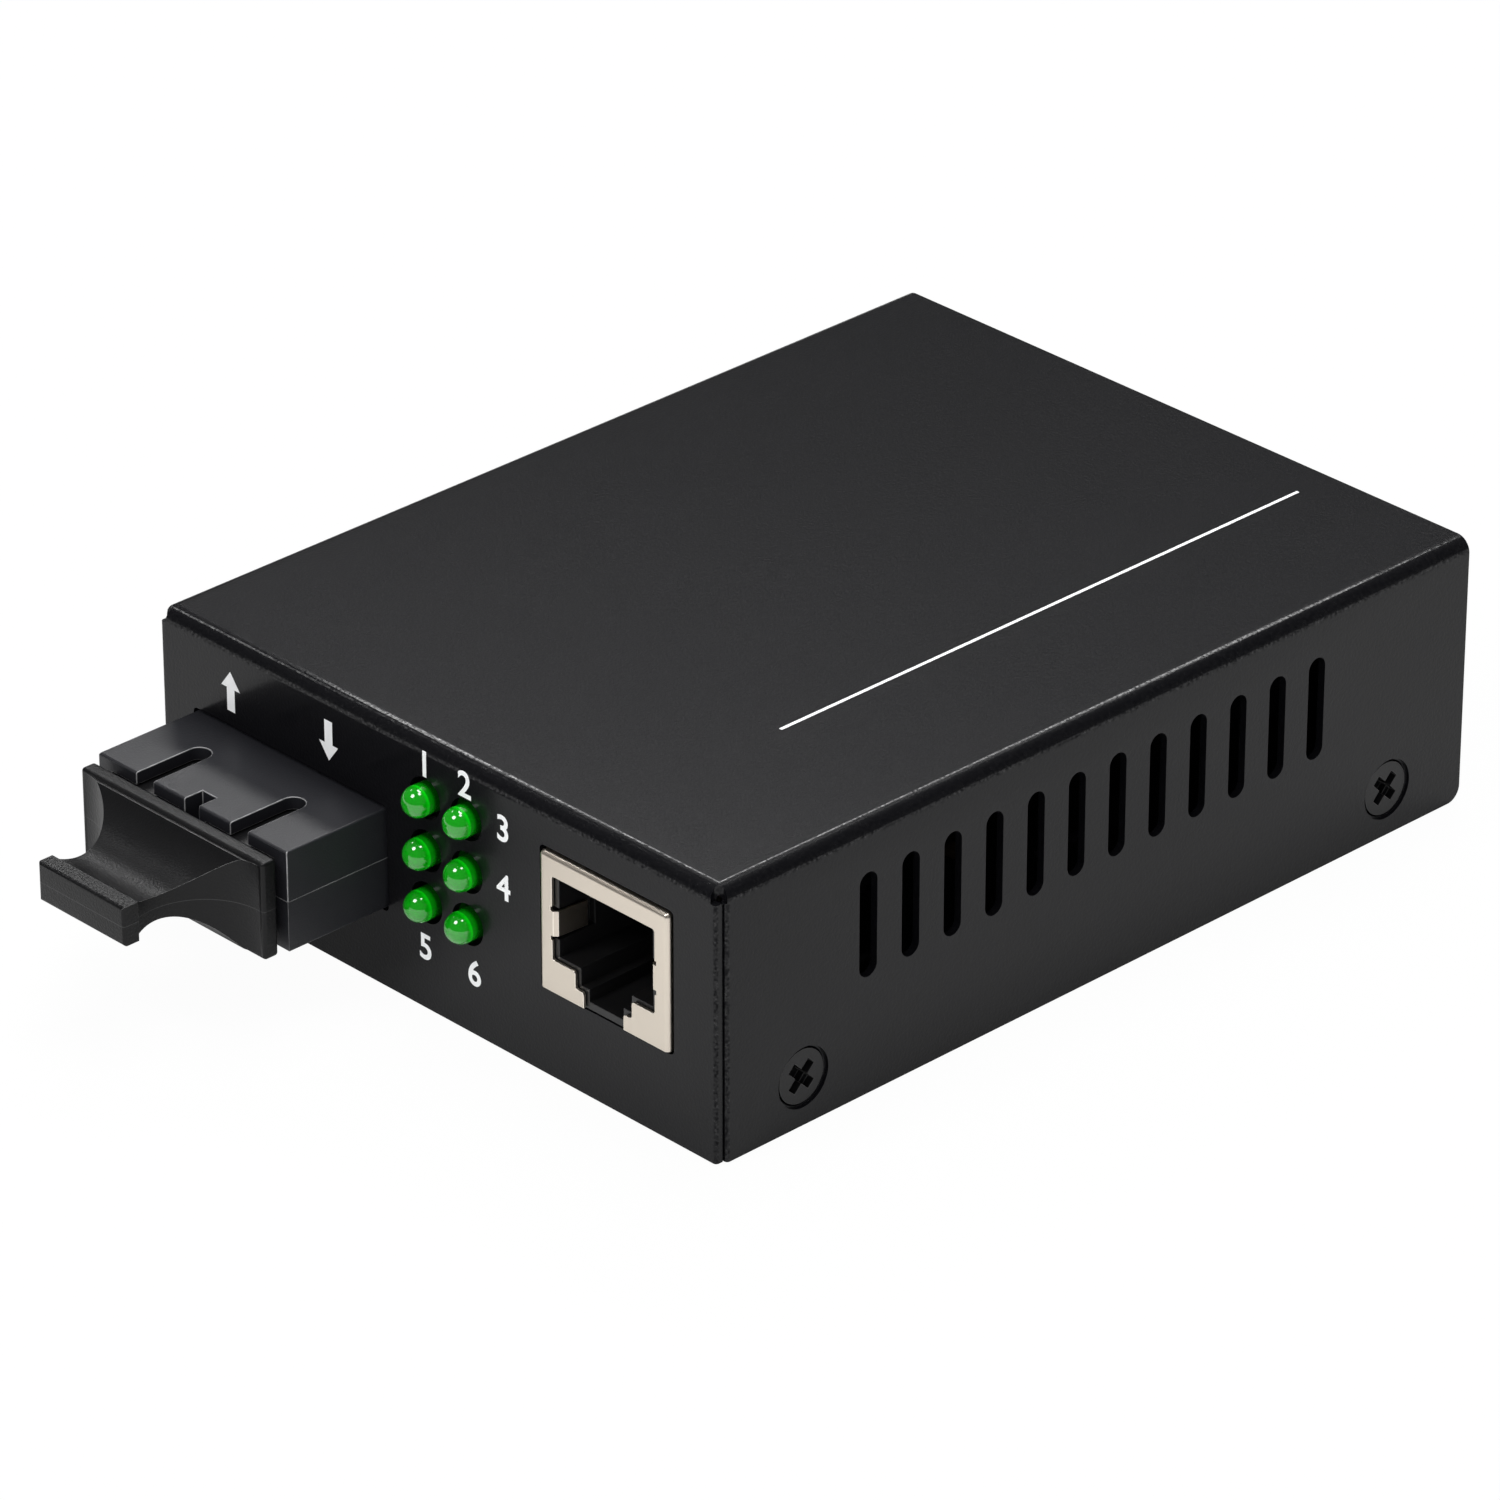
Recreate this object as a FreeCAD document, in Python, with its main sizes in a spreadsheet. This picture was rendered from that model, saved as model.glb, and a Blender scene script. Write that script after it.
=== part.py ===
import FreeCAD, Part
import os
import re
import Sketcher

# Fibre media converter: a folded steel box with a duplex optical transceiver, six indicator
# lights and a shielded network socket in front, a power socket behind, and one circuit board.
# X is the width, -Y the front, +Z up. The origin is the centre of the case's underside.

SIZES = [
    # case sheets
    ("case_width", 73.0),
    ("case_depth", 94.5),
    ("case_height", 27.0),
    ("sheet_thick", 0.8),
    ("bend_outer", 1.5),
    ("nest_gap", 0.12),
    ("seam_gap", 0.12),
    ("flange_setback", 0.4),
    ("flange_round", 0.35),
    ("edge_round", 0.25),
    ("relief_diameter", 1.45),
    ("relief_inset", 0.5),
    ("window_gap", 0.3),
    ("window_round", 0.5),
    ("side_tab_height", 9.6),
    # vent slots
    ("slot_count", 12),
    ("slot_pitch", 5.14),
    ("slot_width", 2.15),
    ("slot_length", 10.35),
    ("slot_inset", 17.8),
    ("slot_height", 16.93),
    # case screws
    ("case_screw_inset", 10.05),
    ("case_screw_height", 4.8),
    ("case_screw_length", 4.2),
    ("countersink_diameter", 6.0),
    ("countersink_lip", 0.33),
    ("flat_head_diameter", 5.3),
    ("flat_head_rim", 0.25),
    ("head_recess", 0.25),
    ("screw_diameter", 2.9),
    ("screw_hole_diameter", 3.0),
    ("cross_span", 3.3),
    ("cross_core", 2.1),
    ("cross_arm", 1.0),
    ("cross_step", 0.8),
    ("cross_depth", 1.5),
    ("tapped_collar_diameter", 4.8),
    ("tapped_collar_length", 1.3),
    # circuit board and its fixings
    ("board_top", 7.9),
    ("board_thick", 1.6),
    ("board_width", 64.0),
    ("board_front_gap", 0.7),
    ("board_rear_gap", 1.3),
    ("board_screw_length", 5.5),
    ("pan_head_diameter", 5.5),
    ("pan_head_height", 1.9),
    ("board_hole_diameter", 3.3),
    ("standoff_diameter", 5.6),
    ("standoff_shank_diameter", 4.2),
    ("press_gap", 0.02),
    ("fixing_left", 2.6),
    ("fixing_right", 28.6),
    ("fixing_front", 24.0),
    ("fixing_rear", 39.5),
    # optical transceiver
    ("module_centre", -18.85),
    ("module_width", 25.4),
    ("module_height", 10.05),
    ("module_length", 48.5),
    ("module_nose", 11.4),
    ("module_lift", 0.15),
    ("module_wall", 1.2),
    ("port_pitch", 12.7),
    ("port_width", 9.1),
    ("port_height", 7.5),
    ("port_depth", 14.0),
    ("bulkhead", 2.0),
    ("keyway_width", 2.3),
    ("keyway_length", 7.45),
    ("notch_width", 1.9),
    ("notch_depth", 2.1),
    ("sleeve_diameter", 4.6),
    ("sleeve_bore", 2.5),
    ("sleeve_reach", 8.0),
    ("sleeve_flange_diameter", 6.2),
    ("sleeve_flange_thick", 0.8),
    ("can_diameter", 5.6),
    ("can_cap_diameter", 4.7),
    ("can_length", 4.5),
    ("can_lead_diameter", 0.44),
    ("can_lead_length", 3.6),
    ("module_board_thick", 1.0),
    ("module_board_width", 21.5),
    ("module_pin_diameter", 0.46),
    ("module_pin_pitch", 2.54),
    ("module_pin_inset", 4.2),
    ("module_peg_diameter", 1.9),
    ("pin_stickout", 1.0),
    ("pin_hole_gap", 0.2),
    # dust plug
    ("plug_gap", 0.85),
    ("plug_flange_thick", 1.6),
    ("plug_flange_width", 24.6),
    ("plug_flange_height", 9.7),
    ("plug_drop", 0.25),
    ("grip_length", 10.5),
    ("grip_bar_width", 11.6),
    ("grip_bar_height", 3.9),
    ("grip_bar_thick", 1.7),
    ("side_scoop_radius", 6.6),
    ("side_scoop_offset", 11.65),
    ("face_scoop_radius", 6.8),
    ("face_scoop_reach", 6.1),
    ("neck_thick", 2.4),
    ("grip_round", 0.35),
    ("peg_gap", 0.15),
    ("peg_length", 8.8),
    ("peg_bore", 5.4),
    # indicator lights
    ("light_column", 1.94),
    ("light_column_pitch", 5.35),
    ("light_rise", 2.94),
    ("light_row_pitch", 5.25),
    ("light_diameter", 3.0),
    ("light_hole_gap", 0.53),
    ("light_nose", 0.8),
    ("light_body", 3.8),
    ("light_rim_diameter", 3.8),
    ("light_rim_thick", 1.0),
    ("holder_thick", 4.0),
    ("holder_margin", 0.35),
    ("lead_thick", 0.5),
    ("lead_pitch", 2.54),
    ("lead_step", 1.2),
    # network socket
    ("jack_centre", 22.5),
    ("jack_width", 16.2),
    ("jack_height", 13.6),
    ("jack_depth", 16.5),
    ("jack_nose", 0.45),
    ("jack_lift", 1.05),
    ("shield_thick", 0.3),
    ("shield_round", 0.5),
    ("mouth_round", 0.3),
    ("shield_gap", 0.08),
    ("mouth_width", 12.9),
    ("mouth_rise", 12.6),
    ("step_rise", 4.3),
    ("latch_width", 7.1),
    ("latch_rise", 2.6),
    ("tongue_width", 5.0),
    ("socket_width", 11.8),
    ("socket_depth", 12.0),
    ("insert_lip", 0.35),
    ("insert_floor", 0.7),
    ("leaf_rise", 6.65),
    ("leaf_width", 2.5),
    ("leaf_length", 3.6),
    ("leaf_lean", 0.75),
    ("slit_width", 0.4),
    ("contact_pitch", 1.02),
    ("contact_width", 0.36),
    ("contact_thick", 0.3),
    ("comb_width", 9.2),
    ("jack_peg_diameter", 3.2),
    ("jack_peg_spread", 11.4),
    # power socket
    ("power_centre", 19.0),
    ("power_width", 9.0),
    ("power_height", 11.0),
    ("power_length", 14.2),
    ("power_axis", 6.5),
    ("power_bore", 6.3),
    ("power_bore_depth", 10.0),
    ("power_pin_diameter", 2.0),
    ("power_pin_length", 8.6),
    ("power_panel_hole", 8.4),
    ("power_panel_gap", 0.15),
]

NAMES = {name for name, number in SIZES}

doc = FreeCAD.newDocument("fibre_media_converter")
sheet = doc.addObject("Spreadsheet::Sheet", "sizes")
for row, (name, number) in enumerate(SIZES, start=1):
    sheet.set(f"A{row}", name)
    sheet.set(f"B{row}", str(number))
    sheet.setAlias(f"B{row}", name)
doc.recompute()

parts = []

# Places that several pieces share, as rules in the sheet's words. The front_ rules count
# forwards from the case's centre, because a sketch on the XZ plane is offset towards -Y.
HALF_WIDTH = "case_width / 2"
HALF_DEPTH = "case_depth / 2"
FRONT_INSIDE = "(case_depth / 2 - sheet_thick)"
BASE_HALF = "(case_width / 2 - sheet_thick - nest_gap)"
SEAT_RADIUS = "(flat_head_diameter / 2 + flat_head_rim + head_recess + press_gap)"
BOARD_BOTTOM = "(board_top - board_thick)"
MODULE_BOTTOM = "(board_top + module_lift)"
MODULE_MIDDLE = "(board_top + module_lift + module_height / 2)"
MODULE_TOP = "(board_top + module_lift + module_height)"
MODULE_FRONT = "(case_depth / 2 + module_nose)"
BULKHEAD_FRONT = "(case_depth / 2 + module_nose - port_depth)"
BULKHEAD_REAR = "(case_depth / 2 + module_nose - port_depth - bulkhead)"
MODULE_REAR = "(case_depth / 2 + module_nose - module_length)"
FLANGE_REAR = "(case_depth / 2 + module_nose + plug_gap)"
FLANGE_FRONT = "(case_depth / 2 + module_nose + plug_gap + plug_flange_thick)"
PLUG_MIDDLE = "(board_top + module_lift + module_height / 2 - plug_drop)"
LIGHT_REAR = "(case_depth / 2 + light_nose - light_body)"
JACK_FRONT = "(case_depth / 2 + jack_nose)"
JACK_REAR = "(case_depth / 2 + jack_nose - jack_depth)"
JACK_BOTTOM = "(board_top + jack_lift)"
JACK_TOP = "(board_top + jack_lift + jack_height)"
JACK_INNER_HALF = "(jack_width / 2 - shield_thick - shield_gap)"
POWER_FACE = "(case_depth / 2 - sheet_thick - power_panel_gap)"
POWER_HEIGHT = "(board_top + power_axis)"
LIGHT_ROW = "(board_top + light_rise)"
MOUTH_TOP = "(board_top + mouth_rise)"
MOUTH_STEP = "(board_top + step_rise)"
LATCH_STEP = "(board_top + latch_rise)"
LEAF_LOW = "(board_top + leaf_rise)"
LEAF_HIGH = "(board_top + leaf_rise + leaf_width)"
CONTACT_FOOT = "(-case_depth / 2 - jack_nose + jack_depth - 1.6)"
JACK_PEG_LINE = "(-case_depth / 2 - jack_nose + jack_depth / 2)"
POWER_LUG_LINE = "(case_depth / 2 - sheet_thick - power_panel_gap - power_length - 0.4)"
POWER_LEAF_LINE = "(case_depth / 2 - sheet_thick - power_panel_gap - 2.5)"

# The six lights by name, from the upper left one down and then the right column.
LIGHT_PLACES = {
    f"light_{column}_{row}": (
        f"light_column {side} light_column_pitch / 2",
        f"{LIGHT_ROW} + {step} * light_row_pitch",
    )
    for column, side in (("left", "-"), ("right", "+"))
    for row, step in (("upper", 2), ("middle", 1), ("lower", 0))
}

# The four places where the board is screwed down.
FIXINGS = [
    ("fixing_left", "-fixing_front"),
    ("fixing_right", "-fixing_front"),
    ("-fixing_right", "fixing_rear"),
    ("fixing_right", "fixing_rear"),
]


def size(name):
    """The sheet's number for one named size."""
    return float(sheet.get(name))


def rule(text):
    """Turn a rule in plain size names into one that reads the sheet."""

    def full_name(word):
        return "sizes." + word.group() if word.group() in NAMES else word.group()

    return re.sub(r"[a-z_]+", full_name, text)


def bind(thing, prop, text):
    thing.setExpression(prop, rule(str(text)))


def new_body(label):
    body = doc.addObject("PartDesign::Body", label)
    body.Label = label
    body.AllowCompound = True
    return body


def origin_part(body, role):
    return next(feature for feature in body.Origin.OriginFeatures if feature.Role == role)


def new_sketch(body, plane, offset="0", across="0", up="0", turn=0):
    """A sketch on one of the body's own planes, shifted along its normal and in its plane."""
    sketch = body.newObject("Sketcher::SketchObject", "outline")
    sketch.AttachmentSupport = [(origin_part(body, plane), "")]
    sketch.MapMode = "FlatFace"
    if turn:
        axis = FreeCAD.Vector(0, 0, 1)
        sketch.AttachmentOffset = FreeCAD.Placement(FreeCAD.Vector(), FreeCAD.Rotation(axis, turn))
    bind(sketch, "AttachmentOffset.Base.x", across)
    bind(sketch, "AttachmentOffset.Base.y", up)
    bind(sketch, "AttachmentOffset.Base.z", offset)
    return sketch


def dimension(sketch, kind, geometry, point, text, start=1.0):
    index = sketch.addConstraint(Sketcher.Constraint(kind, -1, 1, geometry, point, start))
    bind(sketch, f"Constraints[{index}]", text)


def outline(sketch, points):
    """A closed outline of straight edges through the given corners."""
    count = len(points)
    first = sketch.GeometryCount
    ring = Part.makeCircle(1).discretize(count + 1)
    sketch.addGeometry([Part.LineSegment(ring[i], ring[i + 1]) for i in range(count)], False)
    for i in range(count):
        following = first + (i + 1) % count
        sketch.addConstraint(Sketcher.Constraint("Coincident", first + i, 2, following, 1))
    for i, (across, up) in enumerate(points):
        dimension(sketch, "DistanceX", first + i, 1, across)
        dimension(sketch, "DistanceY", first + i, 1, up)


def rectangle(sketch, left, right, low, high):
    outline(sketch, [(left, low), (right, low), (right, high), (left, high)])


def centred_rectangle(sketch, across, up, width, height):
    rectangle(
        sketch,
        f"({across}) - ({width}) / 2",
        f"({across}) + ({width}) / 2",
        f"({up}) - ({height}) / 2",
        f"({up}) + ({height}) / 2",
    )


def circle(sketch, across, up, diameter):
    index = sketch.addGeometry(Part.Circle(FreeCAD.Vector(), FreeCAD.Vector(0, 0, 1), 1), False)
    dimension(sketch, "DistanceX", index, 3, across)
    dimension(sketch, "DistanceY", index, 3, up)
    width = sketch.addConstraint(Sketcher.Constraint("Diameter", index, 2.0))
    bind(sketch, f"Constraints[{width}]", diameter)


def obround(sketch, across, up, width, length):
    """A slot with round ends, its length along the sketch's second axis."""
    normal = FreeCAD.Vector(0, 0, 1)
    half_turn = 3.141592653589793
    upper_ring = Part.Circle(FreeCAD.Vector(0, 1, 0), normal, 0.5)
    lower_ring = Part.Circle(FreeCAD.Vector(0, -1, 0), normal, 0.5)
    upper = sketch.addGeometry(Part.ArcOfCircle(upper_ring, 0, half_turn), False)
    lower = sketch.addGeometry(Part.ArcOfCircle(lower_ring, half_turn, 2 * half_turn), False)
    left_side = Part.LineSegment(FreeCAD.Vector(-0.5, 1, 0), FreeCAD.Vector(-0.5, -1, 0))
    right_side = Part.LineSegment(FreeCAD.Vector(0.5, -1, 0), FreeCAD.Vector(0.5, 1, 0))
    left = sketch.addGeometry(left_side, False)
    right = sketch.addGeometry(right_side, False)
    for joined in ((upper, 2, left, 1), (left, 2, lower, 1), (lower, 2, right, 1), (right, 2, upper, 1)):
        sketch.addConstraint(Sketcher.Constraint("Tangent", *joined))
    sketch.addConstraint(Sketcher.Constraint("Vertical", left))
    sketch.addConstraint(Sketcher.Constraint("Equal", upper, lower))
    radius = sketch.addConstraint(Sketcher.Constraint("Radius", upper, 0.5))
    bind(sketch, f"Constraints[{radius}]", f"({width}) / 2")
    dimension(sketch, "DistanceX", upper, 3, across)
    dimension(sketch, "DistanceY", upper, 3, f"({up}) + (({length}) - ({width})) / 2")
    dimension(sketch, "DistanceY", lower, 3, f"({up}) - (({length}) - ({width})) / 2", start=-1.0)


def feature(body, kind, sketch=None):
    made = body.newObject(f"PartDesign::{kind}", kind.lower())
    if sketch is not None:
        made.Profile = sketch
        sketch.Visibility = False
    return made


def pad(body, sketch, length, backwards=False):
    made = feature(body, "Pad", sketch)
    bind(made, "Length", length)
    made.Reversed = backwards
    return made


def pocket(body, sketch, depth, backwards=False):
    made = feature(body, "Pocket", sketch)
    bind(made, "Length", depth)
    made.Reversed = backwards
    return made


def turned(body, sketch, kind="Revolution", axis="V_Axis"):
    made = feature(body, kind, sketch)
    made.ReferenceAxis = (sketch, [axis])
    made.Angle = 360
    return made


def row_of(body, original, axis, count, pitch):
    made = feature(body, "LinearPattern")
    made.Originals = [original]
    made.Direction = (origin_part(body, axis), [""])
    made.Mode = "Spacing"
    bind(made, "Occurrences", count)
    bind(made, "Offset", pitch)
    body.Tip = made
    return made


def dress(body, kind, prop, text, chosen):
    """A fillet or chamfer on the edges of the body's last feature that the test picks."""
    doc.recompute()
    base = body.Tip
    names = [f"Edge{i}" for i, edge in enumerate(base.Shape.Edges, start=1) if chosen(edge)]
    made = feature(body, kind)
    made.Base = (base, names)
    bind(made, prop, text)
    doc.recompute()
    return made


def runs_along(edge, axis):
    """True for a straight edge parallel to the axis named x, y or z."""
    if edge.Curve.TypeId != "Part::GeomLine":
        return False
    return abs(getattr(edge.Curve.Direction, axis)) > 0.999


def near(one, other):
    return abs(one - other) < 0.01


def hollow(body, thickness, is_open):
    """Turn the body's last feature into a sheet, open at the faces that the test picks."""
    doc.recompute()
    base = body.Tip
    names = [f"Face{i}" for i, face in enumerate(base.Shape.Faces, start=1) if is_open(face)]
    made = feature(body, "Thickness")
    made.Base = (base, names)
    made.Reversed = True
    bind(made, "Value", thickness)
    return made


def finish(body):
    parts.append(body)
    return body


def place(thing, across, along, up):
    bind(thing, "Placement.Base.x", across)
    bind(thing, "Placement.Base.y", along)
    bind(thing, "Placement.Base.z", up)


def group(label, members):
    """One node of separate solids: each member is (pattern piece, x, y, z, turn axis, degrees)."""
    links = []
    for master, across, along, up, axis, degrees in members:
        link = doc.addObject("App::Link", label + "_piece")
        link.LinkedObject = master
        link.Placement = FreeCAD.Placement(FreeCAD.Vector(), FreeCAD.Rotation(FreeCAD.Vector(*axis), degrees))
        place(link, across, along, up)
        links.append(link)
    made = doc.addObject("Part::Compound", label)
    made.Label = label
    made.Links = links
    return finish(made)


def bent_shell(body, half_width, rear, front, low, high, opened, rounded):
    """A rounded block turned into a sheet of the case's thickness."""
    sketch = new_sketch(body, "XY_Plane", low)
    rectangle(sketch, f"-{half_width}", half_width, front, rear)
    pad(body, sketch, f"{high} - ({low})")
    dress(body, "Fillet", "Radius", "bend_outer", rounded)
    hollow(body, "sheet_thick", opened)


def both_sides(sketch, draw):
    """Draw the same outline on the left and on the right; draw takes a sign."""
    for side in ("-", ""):
        draw(sketch, side)


def corner_reliefs(body, across, along, low, high):
    """The round punched holes where two bends of a folded sheet meet."""
    sketch = new_sketch(body, "XY_Plane", low)
    both_sides(sketch, lambda drawn, side: circle(drawn, f"{side}({across})", along, "relief_diameter"))
    pocket(body, sketch, f"{high} - ({low})", backwards=True)


def make_cover():
    """Top, front and both sides in one folded sheet, with the slots and the front windows."""
    body = new_body("cover")
    top = size("case_height")
    front = -size("case_depth") / 2
    side = size("case_width") / 2

    def upper_bend(edge):
        box = edge.BoundBox
        at_top = near(box.ZMin, top) and near(box.ZMax, top)
        return at_top and (near(box.YMax, front) or near(abs(box.Center.x), side))

    def opened(face):
        box = face.BoundBox
        return near(box.ZMax, 0) or near(box.YMin, -front)

    bent_shell(body, HALF_WIDTH, HALF_DEPTH, f"-{HALF_DEPTH}", "0", "case_height", opened, upper_bend)
    cover_seams(body)
    cover_windows(body)
    cover_slots(body)
    cover_countersinks(body)

    def rear_lower_corner(edge):
        box = edge.BoundBox
        return runs_along(edge, "x") and near(box.Center.y, -front) and near(box.ZMax, 0)

    dress(body, "Fillet", "Radius", "bend_outer", rear_lower_corner)
    return finish(body)


def cover_seams(body):
    """Open the front corners: the side flanges end behind the front one, which ends a little short."""
    sketch = new_sketch(body, "XY_Plane", "-1")
    front_end = f"{HALF_WIDTH} - flange_setback"
    inside = f"{HALF_WIDTH} - sheet_thick - seam_gap"
    side_end = f"-{FRONT_INSIDE} + seam_gap"

    def corner(drawn, side):
        outline(
            drawn,
            [
                (f"{side}({front_end})", f"-{HALF_DEPTH} - 1"),
                (f"{side}({HALF_WIDTH} + 1)", f"-{HALF_DEPTH} - 1"),
                (f"{side}({HALF_WIDTH} + 1)", side_end),
                (f"{side}({inside})", side_end),
                (f"{side}({inside})", f"-{FRONT_INSIDE}"),
                (f"{side}({front_end})", f"-{FRONT_INSIDE}"),
            ],
        )

    both_sides(sketch, corner)
    pocket(body, sketch, "1 + case_height - bend_outer + relief_inset", backwards=True)
    half = size("case_width") / 2
    front = -size("case_depth") / 2
    behind = front + size("sheet_thick") + size("seam_gap")

    def outer_edge(edge):
        box = edge.BoundBox
        at_front = near(box.YMin, front) and near(abs(box.Center.x), half - size("flange_setback"))
        at_side = near(box.YMin, behind) and near(abs(box.Center.x), half)
        return runs_along(edge, "z") and (at_front or at_side)

    dress(body, "Fillet", "Radius", "flange_round", outer_edge)
    across = f"{HALF_WIDTH} - relief_inset"
    along = f"-{HALF_DEPTH} + relief_inset"
    corner_reliefs(body, across, along, "case_height - bend_outer", "case_height + 1")


def cover_windows(body):
    """The transceiver's and network socket's windows and the six holes for the lights."""
    sketch = new_sketch(body, "XZ_Plane", HALF_DEPTH)
    module_window = ("module_width + 2 * window_gap", "module_height + 2 * window_gap")
    centred_rectangle(sketch, "module_centre", MODULE_MIDDLE, *module_window)
    jack_window = ("jack_width + 2 * window_gap", "jack_height + 2 * window_gap")
    centred_rectangle(sketch, "jack_centre", f"{JACK_BOTTOM} + jack_height / 2", *jack_window)
    for column, row in LIGHT_PLACES.values():
        circle(sketch, column, row, "light_diameter + 2 * light_hole_gap")
    pocket(body, sketch, "2 * sheet_thick")
    windows = (("module_centre", "module_width"), ("jack_centre", "jack_width"))
    sides = [(size(centre), size(width) / 2 + size("window_gap")) for centre, width in windows]

    def window_corner(edge):
        across = edge.BoundBox.Center.x
        return runs_along(edge, "y") and any(near(abs(across - centre), half) for centre, half in sides)

    dress(body, "Fillet", "Radius", "window_round", window_corner)


def cover_slots(body):
    sketch = new_sketch(body, "YZ_Plane")
    obround(sketch, f"-{HALF_DEPTH} + slot_inset", "slot_height", "slot_width", "slot_length")
    cut = pocket(body, sketch, "case_width + 2")
    cut.SideType = "Symmetric"
    row_of(body, cut, "Y_Axis", "slot_count", "slot_pitch")


def screw_row_sketch(body):
    """A sketch whose first axis is the common line of the two front case screws."""
    along = "-case_depth / 2 + case_screw_inset"
    return new_sketch(body, "XY_Plane", "case_screw_height", up=along)


def cover_countersinks(body):
    """The straight lip and the cone under each case screw's head."""
    sketch = screw_row_sketch(body)
    inner = f"{HALF_WIDTH} - sheet_thick - 0.1"
    lip = f"{HALF_WIDTH} - countersink_lip"

    def seat(drawn, side):
        outline(
            drawn,
            [
                (f"{side}({inner})", "0"),
                (f"{side}({HALF_WIDTH} + 0.1)", "0"),
                (f"{side}({HALF_WIDTH} + 0.1)", "countersink_diameter / 2"),
                (f"{side}({lip})", "countersink_diameter / 2"),
                (f"{side}({lip})", f"{SEAT_RADIUS} - countersink_lip"),
                (f"{side}({inner})", f"{SEAT_RADIUS} - sheet_thick - 0.1"),
            ],
        )

    both_sides(sketch, seat)
    cut = turned(body, sketch, "Groove", "H_Axis")
    row_of(body, cut, "Y_Axis", "2", "case_depth - 2 * case_screw_inset")


def make_base():
    """Bottom, rear panel and two low side tabs in one folded sheet, with tapped screw collars."""
    body = new_body("base")
    rear = size("case_depth") / 2
    side = size("case_width") / 2 - size("sheet_thick") - size("nest_gap")
    front_end = f"-{FRONT_INSIDE} + nest_gap"
    front = -rear + size("sheet_thick") + size("nest_gap")

    def lower_bend(edge):
        box = edge.BoundBox
        at_bottom = near(box.ZMin, 0) and near(box.ZMax, 0)
        return at_bottom and (near(box.YMin, rear) or near(abs(box.Center.x), side))

    def opened(face):
        box = face.BoundBox
        return near(box.YMax, front) or (near(box.ZMin, box.ZMax) and box.ZMax > 1)

    high = "case_height - sheet_thick - nest_gap"
    bent_shell(body, BASE_HALF, HALF_DEPTH, front_end, "0", high, opened, lower_bend)
    base_side_tabs(body)
    base_screw_collars(body)
    base_holes(body)
    return finish(body)


def base_side_tabs(body):
    """Cut the sides down to low tabs and part them from the rear panel."""
    sketch = new_sketch(body, "YZ_Plane")
    tab_end = f"{HALF_DEPTH} - sheet_thick - seam_gap"
    rectangle(sketch, f"-{HALF_DEPTH} - 1", tab_end, "side_tab_height", "case_height + 1")
    cut = pocket(body, sketch, "case_width + 2")
    cut.SideType = "Symmetric"
    slit = new_sketch(body, "XY_Plane", "bend_outer + relief_inset")

    def corner(drawn, side):
        near_edge = f"{side}({BASE_HALF} - sheet_thick - seam_gap)"
        outline(
            drawn,
            [
                (near_edge, tab_end),
                (f"{side}({HALF_WIDTH})", tab_end),
                (f"{side}({HALF_WIDTH})", f"{HALF_DEPTH} - sheet_thick"),
                (near_edge, f"{HALF_DEPTH} - sheet_thick"),
            ],
        )

    both_sides(slit, corner)
    pocket(body, slit, "case_height", backwards=True)
    top = size("case_height") - size("sheet_thick") - size("nest_gap")
    upper_corner = lambda edge: runs_along(edge, "y") and near(edge.BoundBox.ZMin, top)
    dress(body, "Fillet", "Radius", "bend_outer", upper_corner)
    across = f"{BASE_HALF} - relief_inset"
    corner_reliefs(body, across, f"{HALF_DEPTH} - relief_inset", "-1", "bend_outer + sheet_thick")


def base_screw_collars(body):
    """Pulled collars behind the tabs, then the holes with the rest of the countersink."""
    inside = f"{BASE_HALF} - sheet_thick"
    collar = screw_row_sketch(body)

    def sleeve(drawn, side):
        outline(
            drawn,
            [
                (f"{side}({inside} - tapped_collar_length)", "0"),
                (f"{side}({inside} + 0.1)", "0"),
                (f"{side}({inside} + 0.1)", "tapped_collar_diameter / 2"),
                (f"{side}({inside} - tapped_collar_length)", "tapped_collar_diameter / 2"),
            ],
        )

    both_sides(collar, sleeve)
    added = turned(body, collar, "Revolution", "H_Axis")
    pitch = "case_depth - 2 * case_screw_inset"
    row_of(body, added, "Y_Axis", "2", pitch)
    hole = screw_row_sketch(body)
    deep = f"{SEAT_RADIUS} - sheet_thick - nest_gap"
    bottom = f"{BASE_HALF} - ({deep} - screw_hole_diameter / 2)"

    def bore(drawn, side):
        outline(
            drawn,
            [
                (f"{side}({inside} - tapped_collar_length - 1)", "0"),
                (f"{side}({BASE_HALF} + 0.05)", "0"),
                (f"{side}({BASE_HALF} + 0.05)", f"{deep} + 0.05"),
                (f"{side}({bottom})", "screw_hole_diameter / 2"),
                (f"{side}({inside} - tapped_collar_length - 1)", "screw_hole_diameter / 2"),
            ],
        )

    both_sides(hole, bore)
    cut = turned(body, hole, "Groove", "H_Axis")
    row_of(body, cut, "Y_Axis", "2", pitch)


def base_holes(body):
    sketch = new_sketch(body, "XY_Plane", "-1")
    for across, along in FIXINGS:
        circle(sketch, across, along, "standoff_shank_diameter + 2 * press_gap")
    pocket(body, sketch, "sheet_thick + 2", backwards=True)
    rear = new_sketch(body, "XZ_Plane", f"-{HALF_DEPTH}")
    circle(rear, "power_centre", POWER_HEIGHT, "power_panel_hole")
    pocket(body, rear, "2 * sheet_thick", backwards=True)


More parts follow.
